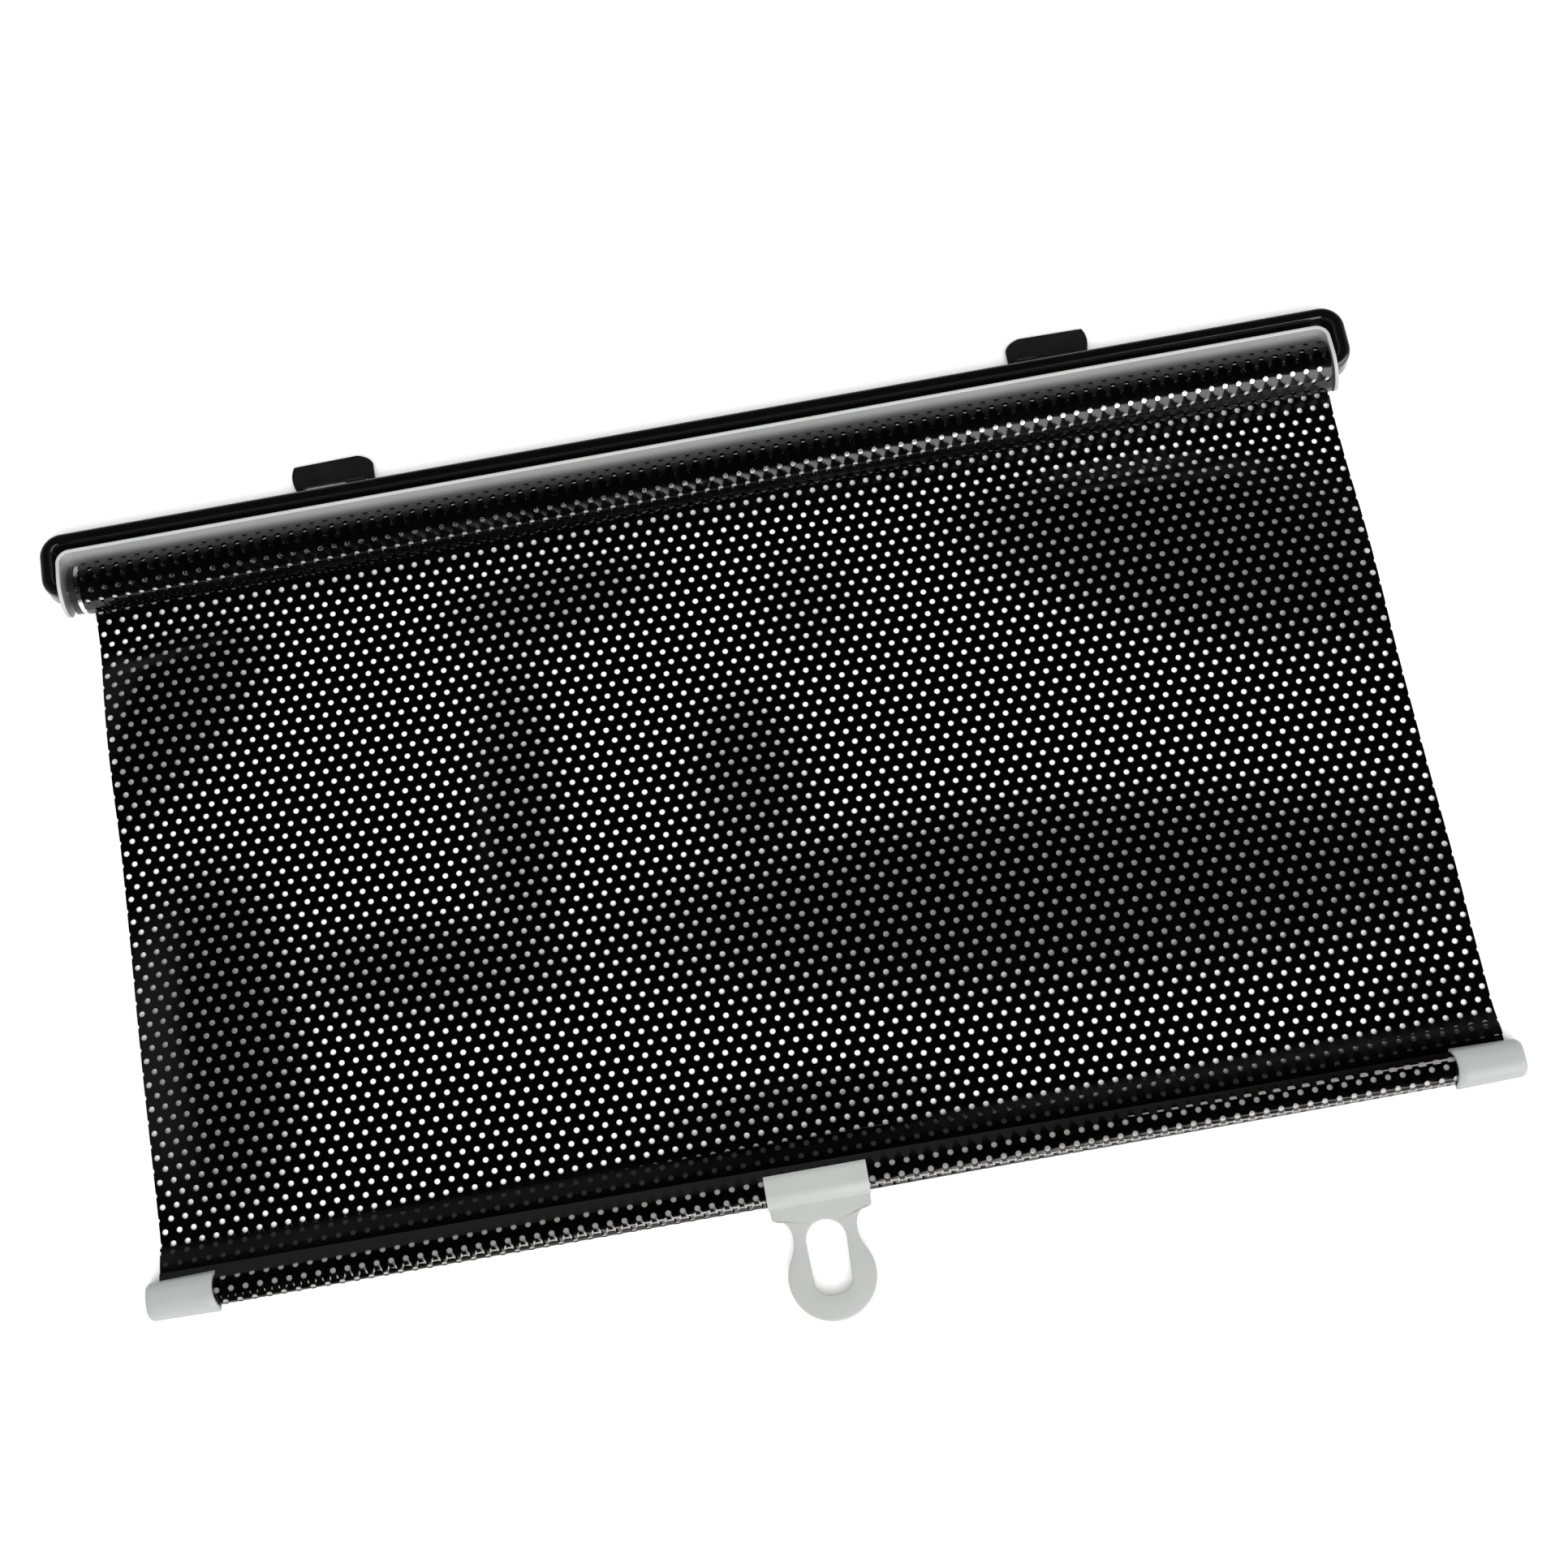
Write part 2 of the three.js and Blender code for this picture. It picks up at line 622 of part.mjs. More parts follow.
function rippleHeight(ripple, x, y) {
  const turn = THREE.MathUtils.degToRad(ripple.turn);
  const dx = x - filmX - ripple.across * filmWidth;
  const dy = y - filmStart + ripple.down * filmRun;
  const long = (dx * Math.cos(turn) + dy * Math.sin(turn)) / (ripple.long * RIPPLE_SIZE);
  const wide = (dy * Math.cos(turn) - dx * Math.sin(turn)) / (ripple.wide * RIPPLE_SIZE);
  const out = long * long + wide * wide;
  return ripple.height * RIPPLE_HEIGHT * Math.exp(-out * out);
}

function filmUnderside(x, y) {
  const run = filmStart - y;
  const left = y - filmEnd;
  const atRoll = RAIL_FLOOR - FILM_THICKNESS - TABLE_GAP;
  const atBar = barZ - FILM_THICKNESS / 2 - TABLE_GAP;
  const fromRoll = atRoll * smooth(1 - run / ROLL_RUN);
  const toBar = atBar * smooth(1 - left / BAR_RUN);
  const fade = smooth(run / RIPPLE_RUN) * smooth(left / RIPPLE_RUN);
  let humps = 0;
  for (const ripple of ripples) {
    humps = Math.max(humps, rippleHeight(ripple, x, y));
  }
  return TABLE_GAP + fromRoll + toBar + humps * fade;
}

// The sheet is two grids of points, one film thickness apart, with walls along its four edges

function filmSheet() {
  const columns = 20;
  const rows = 17;
  const positions = [];
  const index = [];
  const count = (columns + 1) * (rows + 1);
  for (const lift of [0, FILM_THICKNESS]) {
    for (let row = 0; row <= rows; row += 1) {
      const down = row / rows;
      const y = filmStart - down * filmRun;
      for (let column = 0; column <= columns; column += 1) {
        const x = filmLeft + (column / columns) * filmWidth + FILM_DRIFT * down;
        positions.push(x, y, filmUnderside(x, y) + lift);
      }
    }
  }
  const at = (row, column, layer) => layer * count + row * (columns + 1) + column;
  const quad = (a, b, c, d) => index.push(a, b, c, a, c, d);
  const wall = (a, b) => quad(a, b, b + count, a + count);
  for (let row = 0; row < rows; row += 1) {
    for (let column = 0; column < columns; column += 1) {
      const corners = [at(row, column, 0), at(row, column + 1, 0)];
      corners.push(at(row + 1, column + 1, 0), at(row + 1, column, 0));
      quad(...corners);
      quad(...corners.reverse().map((corner) => corner + count));
    }
    wall(at(row, 0, 0), at(row + 1, 0, 0));
    wall(at(row + 1, columns, 0), at(row, columns, 0));
  }
  for (let column = 0; column < columns; column += 1) {
    wall(at(0, column + 1, 0), at(0, column, 0));
    wall(at(rows, column, 0), at(rows, column + 1, 0));
  }
  return perforated(solid(indexed(positions, index)));
}

// The perforation: staggered holes, coarser than the real 5 mm grid

function perforated(sheet) {
  const across = Math.floor((filmWidth - 2 * HOLE_MARGIN) / HOLE_PITCH) + 1;
  const down = Math.floor((filmRun - 2 * HOLE_MARGIN) / HOLE_PITCH) + 1;
  let body = sheet;
  for (let row = 0; row < down; row += 1) {
    const y = filmStart - filmRun / 2 + (row - (down - 1) / 2) * HOLE_PITCH;
    const inRow = row % 2 === 0 ? across : across - 1;
    for (let column = 0; column < inRow; column += 1) {
      const x = filmX + (column - (inRow - 1) / 2) * HOLE_PITCH;
      body = body.subtract(solid(rodAlongZ(HOLE_RADIUS, x, y, -PAST, barZ * 3, 6)));
    }
  }
  return geometryOf(body);
}

// Bar

const halfSlat = filmWidth / 2 + SLAT_OVERHANG;
const hemLeft = barX - filmWidth / 2;
const hemRight = barX + filmWidth / 2;

function slat() {
  const shape = flatOval(new THREE.Shape(), SLAT_WIDTH / 2, SLAT_THICKNESS / 2);
  const halfWidth = SLAT_WIDTH / 2 - SLAT_WALL;
  const halfHeight = SLAT_THICKNESS / 2 - SLAT_WALL;
  shape.holes.push(flatOval(new THREE.Path(), halfWidth, halfHeight));
  return alongX(shape, barX - halfSlat, barX + halfSlat);
}

// Hem: the film's end round the slat, closed by a short welded flap towards the sheet

function hem() {
  const outside = flatOval(new THREE.Shape(), hemHalfWidth, hemHalfHeight);
  const innerWidth = hemHalfWidth - HEM_THICKNESS;
  const innerHeight = hemHalfHeight - HEM_THICKNESS;
  outside.holes.push(flatOval(new THREE.Path(), innerWidth, innerHeight));
  const loop = solid(alongX(outside, hemLeft, hemRight));
  const inset = CAP_LENGTH + CAP_LIP;
  const back = barY + hemHalfWidth;
  const flap = block(
    hemLeft + inset,
    hemRight - inset,
    back - HEM_THICKNESS / 2,
    back + HEM_FLAP,
    barZ - HEM_THICKNESS,
    barZ + HEM_THICKNESS,
  );
  return geometryOf(loop.add(solid(flap)));
}

// End cap: a shell over the hem's end with a rounded outer end, a concave mouth and a spigot
// in the slat; side is -1 on the left and 1 on the right. Its sections are superellipses: the
// cosine and sine of the angle, raised to a power below one.

function capSection(halfWidth, halfHeight, step, sides) {
  const angle = (step / sides) * Math.PI * 2;
  const reach = (value) => Math.sign(value) * Math.abs(value) ** CAP_FULLNESS;
  return [barY + halfWidth * reach(Math.cos(angle)), barZ + halfHeight * reach(Math.sin(angle))];
}

function endCap(side) {
  const end = barX + side * (halfSlat + SEAT + CAP_END);
  const mouth = end - side * CAP_LENGTH;
  const stations = [];
  const rings = 5;
  for (let ring = 0; ring <= rings; ring += 1) {
    const angle = (ring / rings) * (Math.PI / 2);
    const inset = CAP_END * (1 - Math.cos(angle));
    stations.push({ x: end - side * CAP_END * (1 - Math.sin(angle)), inset });
  }
  stations.push({ x: mouth - side * CAP_LIP, inset: 0 });
  stations.sort((a, b) => a.x - b.x);
  const sides = 32;
  const positions = [];
  const index = [];
  for (const { x, inset } of stations) {
    for (let step = 0; step < sides; step += 1) {
      positions.push(x, ...capSection(capHalfWidth - inset, capHalfHeight - inset, step, sides));
    }
  }
  const last = stations.length - 1;
  const hub = positions.length / 3;
  positions.push(stations[0].x, barY, barZ);
  positions.push(stations[last].x, barY, barZ);
  for (let step = 0; step < sides; step += 1) {
    const next = (step + 1) % sides;
    index.push(hub, next, step);
    index.push(hub + 1, last * sides + step, last * sides + next);
    for (let ring = 0; ring < last; ring += 1) {
      const a = ring * sides + step;
      const b = ring * sides + next;
      index.push(a, b, b + sides, a, b + sides, a + sides);
    }
  }
  const floor = end - side * CAP_END;
  const cavity = flatOval(new THREE.Shape(), hemHalfWidth + SEAT, hemHalfHeight + SEAT);
  const hollow = solid(alongX(cavity, floor, mouth - side * (CAP_LIP + PAST)));
  const scoopX = mouth - side * (CAP_MOUTH_RADIUS - CAP_MOUTH_DEPTH);
  const scoop = rodAlongZ(CAP_MOUTH_RADIUS, scoopX, barY + CAP_LIP, -PAST, barZ * 3);
  const spigot = flatOval(
    new THREE.Shape(),
    SLAT_WIDTH / 2 - SLAT_WALL - SEAT,
    SLAT_THICKNESS / 2 - SLAT_WALL - SEAT,
  );
  const peg = solid(alongX(spigot, floor - side * SPIGOT_LENGTH, floor + side * OVERLAP));
  const shell = solid(indexed(positions, index)).subtract(hollow).subtract(solid(scoop));
  return geometryOf(shell.add(peg));
}

// Pull tab: a clip open towards the film, and a flat ring on a waisted neck

function tabPlate() {
  const half = TAB_WIDTH / 2 - SHOULDER_SET_IN;
  const neck = NECK_WIDTH / 2;
  const top = tabFront + TAB_WALL - OVERLAP;
  const shoulder = tabFront - TAB_SHOULDER;
  const waist = tabFront - NECK_FROM_CLIP;
  const ringY = tabFront - RING_FROM_CLIP;
  const join = Math.PI * RING_JOIN;
  const joinX = RING_RADIUS * Math.cos(join);
  const joinY = ringY + RING_RADIUS * Math.sin(join);
  const plate = new THREE.Shape();
  plate.moveTo(-half, top);
  plate.lineTo(-half, shoulder);
  plate.quadraticCurveTo(-neck, shoulder, -neck, waist);
  plate.quadraticCurveTo(-neck, waist - NECK_TO_RING, -joinX, joinY);
  plate.absarc(0, ringY, RING_RADIUS, Math.PI - join, Math.PI * 2 + join, false);
  plate.quadraticCurveTo(neck, waist - NECK_TO_RING, neck, waist);
  plate.quadraticCurveTo(neck, shoulder, half, shoulder);
  plate.lineTo(half, top);
  plate.closePath();
  return plate;
}

function tabEye() {
  const radius = EYE_WIDTH / 2;
  const foot = EYE_FOOT_WIDTH / 2;
  const archY = tabFront - EYE_FROM_CLIP - radius;
  const footY = tabFront - EYE_FROM_CLIP - EYE_LENGTH + EYE_FOOT_HEIGHT;
  const eye = new THREE.Path();
  eye.absarc(0, archY, radius, 0, Math.PI, false);
  eye.absellipse(0, footY, foot, EYE_FOOT_HEIGHT, Math.PI, Math.PI * 2, false);
  eye.closePath();
  return eye;
}

function pullTab() {
  const half = TAB_WIDTH / 2;
  const shell = flatOval(new THREE.Shape(), tabHalfWidth, tabHalfHeight);
  shell.holes.push(flatOval(new THREE.Path(), hemHalfWidth + SEAT, hemHalfHeight + SEAT));
  const channel = solid(alongX(shell, tabX - half, tabX + half));
  const mouth = block(
    tabX - half - PAST,
    tabX + half + PAST,
    barY + hemHalfWidth - TAB_WALL,
    barY + tabHalfWidth + PAST,
    -PAST,
    barZ * 3,
  );
  const plate = tabPlate();
  plate.holes.push(tabEye());
  const flat = raised(plate, barZ - TAB_PLATE / 2, barZ + TAB_PLATE / 2);
  flat.translate(tabX, 0, 0);
  return geometryOf(channel.subtract(solid(mouth)).add(solid(flat)));
}

// The assembly

function piece(name, geometry, finish) {
  const mesh = new THREE.Mesh(geometry, finish);
  mesh.name = name;
  return mesh;
}

const holder = new THREE.Group();
holder.add(piece('rail', rail(), glossBlack));
holder.add(piece('bracket', bracket(), bracketGrey));
for (let index = 0; index < RIVET_COUNT; index += 1) {
  holder.add(piece(`bracket_rivet_${index + 1}`, rivet(rivetX(index)), brightMetal));
}
for (const place of clips) {
  holder.add(piece(place.name, clip(place), clipBlack));
}
holder.add(piece('spring_arbor', springArbor(), springSteel));
holder.add(piece('torsion_spring', torsionSpring(), springSteel));
holder.add(piece('film_sheet', filmSheet(), filmBlack));

const roller = new THREE.Group();
roller.add(piece('roller_tube', tube(), brightMetal));
roller.add(piece('film_roll', filmRoll(), filmBlack));
roller.add(piece('idle_plug', idlePlug(), plugBlack));
roller.add(piece('idle_pin', idlePin(), springSteel));
roller.add(piece('spring_plug', springPlug(), plugBlack));
roller.add(piece('anchor_plug', anchorPlug(), plugBlack));

const bar = new THREE.Group();
bar.add(piece('slat', slat(), brightMetal));
bar.add(piece('hem', hem(), filmBlack));
bar.add(piece('end_cap_left', endCap(-1), capGrey));
bar.add(piece('end_cap_right', endCap(1), capGrey));
bar.add(piece('pull_tab', pullTab(), tabGrey));

const sunshade = new THREE.Group();
sunshade.add(holder, roller, bar);

export default sunshade;
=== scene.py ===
"""Looks of a spring roller sunshade for a car's side window, with its screen drawn out on a table."""

import math

import bmesh
import bpy
import numpy as np
from bpy.props import FloatProperty, FloatVectorProperty, IntProperty, PointerProperty
from bpy.types import Operator, Panel, PropertyGroup
from mathutils import Euler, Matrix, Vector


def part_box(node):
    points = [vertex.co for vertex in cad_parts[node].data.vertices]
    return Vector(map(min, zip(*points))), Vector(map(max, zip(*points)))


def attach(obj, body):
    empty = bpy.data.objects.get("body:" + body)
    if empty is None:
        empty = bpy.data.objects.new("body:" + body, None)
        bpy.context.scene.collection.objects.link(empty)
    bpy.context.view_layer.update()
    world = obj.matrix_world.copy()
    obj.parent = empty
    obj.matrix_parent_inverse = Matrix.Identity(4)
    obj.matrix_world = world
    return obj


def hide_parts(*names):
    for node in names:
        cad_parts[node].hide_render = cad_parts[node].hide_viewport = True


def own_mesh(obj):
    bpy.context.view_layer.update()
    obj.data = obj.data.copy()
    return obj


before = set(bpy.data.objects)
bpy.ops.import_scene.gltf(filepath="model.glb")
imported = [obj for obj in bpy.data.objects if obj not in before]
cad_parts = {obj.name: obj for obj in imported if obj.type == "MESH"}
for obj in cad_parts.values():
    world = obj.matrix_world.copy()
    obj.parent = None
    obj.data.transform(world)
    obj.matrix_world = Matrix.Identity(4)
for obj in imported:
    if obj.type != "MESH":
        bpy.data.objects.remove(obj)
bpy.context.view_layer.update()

bl_info = {
    "name": "Roller Sunshade",
    "version": (1, 0, 0),
    "blender": (4, 5, 0),
    "location": "3D View > Sidebar > Sunshade",
    "description": "Dresses a spring roller sunshade: perforated film, roll, bar, bracket, rail and clips",
    "category": "Object",
}

MM = 0.001


# Places taken from the frame

def middle(node, axis):
    low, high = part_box(node)
    return (low[axis] + high[axis]) / 2


def half_size(node, axis):
    low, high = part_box(node)
    return (high[axis] - low[axis]) / 2


AXIS_Y = middle("roller_tube", 1)
AXIS_Z = middle("roller_tube", 2)
TUBE_RADIUS = half_size("roller_tube", 2)
ROLL_RADIUS = AXIS_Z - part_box("film_roll")[0].z
FILM_X = middle("film_roll", 0)
BAR_X = middle("slat", 0)
BAR_Y = middle("slat", 1)
BAR_Z = middle("slat", 2)
SLAT_HALF_WIDTH = half_size("slat", 1)
SLAT_HALF_HEIGHT = half_size("slat", 2)
FLOOR_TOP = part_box("bracket_rivet_1")[0].z


# Sizes and colours that a user would change

def distance(name, description, value):
    return FloatProperty(name=name, description=description, default=value * MM, unit="LENGTH")


def tint(name, description, value):
    return FloatVectorProperty(name=name, description=description, default=value, subtype="COLOR")


class ScreenSettings(PropertyGroup):
    """The perforated film"""
    pitch: distance("Hole pitch", "Distance between neighbouring holes", 5.0)
    hole: distance("Hole diameter", "Width of one round hole", 2.15)
    across: IntProperty(
        name="Holes across", description="Whole holes in the longer rows", default=93)
    width: distance("Film width", "Width of the film from edge to edge", 463.8)
    thickness: distance("Film thickness", "Thickness of the film", 0.25)
    askew: FloatProperty(
        name="Skew", description="How far the rows of holes stand off the roller's line",
        default=math.radians(0.45), subtype="ANGLE")
    centre: FloatVectorProperty(
        name="Lattice point", description="A hole's place, from which the rows are counted",
        size=2, default=(4.5 * MM, -155.5 * MM), subtype="XYZ", unit="LENGTH")
    above_table: distance("Gap below", "Height of the film's underside where it lies flat", 0.3)
    weld: distance("Doubled film", "Length of the film's end that is welded onto the sheet", 7.25)
    hem_row: distance("Hem row", "Distance of a row of holes from the front of the bar's top", 4.4)
    colour: tint("Film colour", "Base colour of the film", (0.0011, 0.0011, 0.0012))
    weld_colour: tint("Weld colour", "Colour of the film that the weld has rubbed matt", (0.03, 0.03, 0.03))


class BarSettings(PropertyGroup):
    """The bar, its caps and the pull tab"""
    hem_gap: distance("Film on slat", "Gap between the slat and the film round it", 0.15)
    cap_colour: tint("Cap colour", "Base colour of the end caps", (0.56, 0.57, 0.57))
    tab_colour: tint("Tab colour", "Base colour of the pull tab", (0.62, 0.63, 0.61))


class CarrierSettings(PropertyGroup):
    """The rail, the bracket and the window clips"""
    rim: distance("Rim width", "Width of the rail's rounded rim", 5.0)
    shoulder: distance("Rim shoulder", "Radius of the rim's upper edges", 1.9)
    corner: distance("Rail corner", "Radius of the rail's corners", 8.5)
    sheet: distance("Bracket sheet", "Thickness of the bracket's sheet", 1.3)
    bracket_corner: distance("Bracket corner", "Outer radius of the bracket's bends", 5.0)
    bracket_colour: tint("Bracket colour", "Base colour of the bracket", (0.7, 0.705, 0.7))
    rail_colour: tint("Rail colour", "Base colour of the rail", (0.005, 0.005, 0.005))
    clip_colour: tint("Clip colour", "Base colour of the window clips", (0.007, 0.007, 0.0072))


class StageSettings(PropertyGroup):
    """Camera, floor and light"""
    camera_place: FloatVectorProperty(
        name="Camera place", description="Where the camera stands",
        default=(13.8 * MM, -454.1 * MM, 932.7 * MM), subtype="TRANSLATION", unit="LENGTH")
    camera_turn: FloatVectorProperty(
        name="Camera turn", description="The camera's rotation",
        default=tuple(math.radians(a) for a in (18.772, 3.432, -9.572)), subtype="EULER")
    lens: FloatProperty(
        name="Lens", description="Focal length in millimetres on a 36 mm sensor", default=63.34)
    floor_size: FloatProperty(
        name="Floor size", description="Side of the square floor", default=12.0, unit="LENGTH")
    key_strength: FloatProperty(
        name="Key strength", description="Strength of the soft lamp", default=1.95)
    fill_strength: FloatProperty(
        name="Fill strength", description="Strength of the even light round the object", default=0.5)


# Surfaces from numpy arrays

def smooth(t):
    """Zero below 0, one above 1, and a cubic with level ends between."""
    s = np.clip(t, 0.0, 1.0)
    return s * s * (3 - 2 * s)


def new_piece(name, points, faces):
    mesh = bpy.data.meshes.new(name)
    mesh.from_pydata(points.tolist(), [], faces)
    mesh.update()
    piece = bpy.data.objects.new(name, mesh)
    bpy.context.scene.collection.objects.link(piece)
    return piece


def closed_up(piece, join=2e-6):
    """Joins doubled points, drops faces with no area and turns every face outwards."""
    shape = bmesh.new()
    shape.from_mesh(piece.data)
    bmesh.ops.remove_doubles(shape, verts=shape.verts, dist=join)
    bmesh.ops.dissolve_degenerate(shape, edges=shape.edges, dist=join)
    bmesh.ops.recalc_face_normals(shape, faces=shape.faces)
    shape.to_mesh(piece.data)
    shape.free()
    return piece


def shaded(piece, material, sharp=35.0):
    """One material, smooth shading, and creases where faces meet at more than sharp degrees."""
    piece.data.materials.clear()
    piece.data.materials.append(material)
    piece.data.shade_smooth()
    piece.data.set_sharp_from_angle(angle=math.radians(sharp))
    return piece


def skin(rings, round_along=False):
    """Points and quads over a grid of rings: ring i, point j. Each ring is closed. Unless the rings
    close on themselves too, a flat face ends the first and the last."""
    count, around = rings.shape[:2]
    number = np.arange(count * around).reshape(count, around)
    here = number if round_along else number[:-1]
    after = np.roll(number, -1, axis=0) if round_along else number[1:]
    quads = np.stack(
        [here, np.roll(here, -1, axis=1), np.roll(after, -1, axis=1), after], axis=-1)
    faces = quads.reshape(-1, 4).tolist()
    if not round_along:
        faces.append(number[0][::-1].tolist())
        faces.append(number[-1].tolist())
    return rings.reshape(-1, 3), faces


def skinned(name, rings, material, round_along=False, sharp=35.0):
    points, faces = skin(rings, round_along)
    return shaded(closed_up(new_piece(name, points, faces)), material, sharp)


def with_x(x, outline):
    """A ring of points at one X from an outline of (Y, Z) pairs."""
    return np.column_stack([np.full(len(outline), x), outline])


def flat_oval(half_width, half_height, steps):
    """Outline of two half circles joined by straight lines, counter-clockwise in (Y, Z)."""
    turn = np.linspace(-np.pi / 2, np.pi / 2, steps)
    straight = half_width - half_height
    front = np.column_stack([straight + half_height * np.cos(turn), half_height * np.sin(turn)])
    return np.vstack([front, -front])


def arc(centre, radius, start, end, steps):
    """Points on a circle round centre from start to end degrees."""
    turn = np.radians(np.linspace(start, end, steps))
    return np.column_stack([centre[0] + radius * np.cos(turn), centre[1] + radius * np.sin(turn)])


def rounded_plan(half_x, half_y, corner, front_x=(), steps=14):
    """A rectangle with round corners, counter-clockwise in (X, Y), with extra points on its -Y side."""
    corner = max(corner, 0.05 * MM)
    in_x, in_y = half_x - corner, half_y - corner
    front = [(x, -half_y) for x in front_x]
    parts = [
        arc((in_x, in_y), corner, 0, 90, steps),
        arc((-in_x, in_y), corner, 90, 180, steps),
        arc((-in_x, -in_y), corner, 180, 270, steps),
        np.array(front).reshape(-1, 2),
        arc((in_x, -in_y), corner, 270, 360, steps),
    ]
    return np.vstack(parts)


def join_pieces(first, *others):
    """Unites closed pieces into the first with boolean modifiers, applied at once."""
    for other in others:
        cut = first.modifiers.new("union", "BOOLEAN")
        cut.operation = "UNION"
        cut.solver = "EXACT"
        cut.object = other
        graph = bpy.context.evaluated_depsgraph_get()
        made = bpy.data.meshes.new_from_object(first.evaluated_get(graph))
        first.modifiers.clear()
        first.data = made
        bpy.data.objects.remove(other)
    return first


# Perforated film

OCTAGON = np.radians(22.5 + 45.0 * np.arange(8))


def zipped(lower, upper, u):
    """Triangles of the strip between two rows of points, both from left to right. The edges of both
    rows are put in order of their middles, and each makes a triangle with the point that the other
    row has reached by then."""
    middles = np.concatenate([(u[lower[:-1]] + u[lower[1:]]) / 2, (u[upper[:-1]] + u[upper[1:]]) / 2])
    on_lower = np.argsort(middles, kind="stable") < len(lower) - 1
    i = np.cumsum(on_lower) - on_lower
    j = np.cumsum(~on_lower) - ~on_lower
    after_i = lower[np.minimum(i + 1, len(lower) - 1)]
    after_j = upper[np.minimum(j + 1, len(upper) - 1)]
    third = np.where(on_lower, after_i, after_j)
    return np.column_stack([lower[i], third, upper[j]])


def hole_row(settings, odd):
    """One row of octagonal holes: its points, its lower and upper lines of points from left to
    right, the pairs of points at the sides of the bridges, the holes, and the points on the film's
    left and right edge. The film's edge cuts a little into the outer holes of the odd rows."""
    radius, half = settings.hole / 2, settings.width / 2
    count = settings.across - odd
    centres = (np.arange(count) - (count - 1) / 2) * settings.pitch
    rise, reach = radius * math.sin(OCTAGON[0]), radius * math.cos(OCTAGON[0])
    ring = radius * np.column_stack([np.cos(OCTAGON), np.sin(OCTAGON)])
    holes = np.stack([centres, np.zeros(count)], axis=-1)[:, None, :] + ring
    inner = settings.across / 2 * settings.pitch - reach
    if odd and inner < half:
        cut = rise + half - inner
        side = np.array([(half, -cut), (inner, -rise), (inner, rise), (half, cut)])
    else:
        side = np.array([(half, -rise), (half, rise)])
    n, s = count * 8, len(side)
    points = np.vstack([holes.reshape(-1, 2), side * (-1, 1), side])
    numbers = np.arange(n).reshape(count, 8)
    left, right = n + np.arange(s), n + s + np.arange(s)
    lower = np.concatenate([left[: s // 2], numbers[:, 4:].ravel(), right[: s // 2][::-1]])
    upper = np.concatenate([left[s // 2:][::-1], numbers[:, 3::-1].ravel(), right[s // 2:]])
    inner_left = (left[s // 2 - 1], left[s // 2])
    inner_right = (right[s // 2 - 1], right[s // 2])
    ends = np.stack([numbers[:, [4, 3]], numbers[:, [7, 0]]], axis=1).reshape(-1, 2)
    pairs = np.vstack([inner_left, ends, inner_right]).reshape(-1, 2, 2)
    return points, lower, upper, pairs, numbers, left, right


def perforated(name, settings, low, high, phase, place):
    """A strip of film with a hole at every point of a staggered lattice: u runs across the film and
    w along it, from low to high. A row of holes lies at each w that is phase plus whole rows. Each
    strip between two rows is zipped. place(u, w, lift) gives the points of both faces, and walls
    join them round every hole and along the edge."""
    row_pitch = settings.pitch * math.sqrt(3) / 2
    margin = settings.hole * 0.6
    rows = np.arange(
        math.ceil((low + margin - phase) / row_pitch),
        math.floor((high - margin - phase) / row_pitch) + 1)
    half = settings.width / 2
    edge_u = np.linspace(-half, half, settings.across + 1)
    points = [np.column_stack([edge_u, np.full_like(edge_u, low)])]
    below = np.arange(len(edge_u))
    start, holes, triangles = below.copy(), [], []
    left_side, right_side = [below[:1]], [below[-1:]]
    total = len(edge_u)
    strips = []
    for row in rows:
        flat, lower, upper, pairs, numbers, left, right = hole_row(settings, row % 2)
        points.append(flat + (0.0, phase + row * row_pitch))
        strips.append((below, lower + total))
        below = upper + total
        (a, b), (c, d) = (pairs[:, 0].T + total), (pairs[:, 1].T + total)
        triangles += [np.column_stack([a, c, d]), np.column_stack([a, d, b])]
        holes.append(numbers + total)
        left_side.append(left + total)
        right_side.append(right + total)
        total += len(flat)
    points.append(np.column_stack([edge_u, np.full_like(edge_u, high)]))
    end = np.arange(len(edge_u)) + total
    strips.append((below, end))
    flat = np.vstack(points)
    triangles += [zipped(lower, upper, flat[:, 0]) for lower, upper in strips]
    border = np.concatenate([*left_side, end, *[side[::-1] for side in right_side[::-1]], start[::-1]])
    border = border[border != np.roll(border, 1)]
    loops = [(ring, np.roll(ring, -1, axis=1)) for ring in (np.vstack(holes), border[None, :])]
    face = np.vstack(triangles)
    count = len(flat)
    sides = [np.vstack([
        np.column_stack([a.ravel(), b.ravel(), b.ravel() + count]),
        np.column_stack([a.ravel(), b.ravel() + count, a.ravel() + count]),
    ]) for a, b in loops]
    faces = np.vstack([face, face[:, ::-1] + count, *sides])
    u, w = flat.T
    both = np.vstack([place(u, w, settings.thickness), place(u, w, 0.0)])
    return new_piece(name, both, faces.tolist())


# The sheet's ripples on the table: place, length and width of each hump, its turn and its height

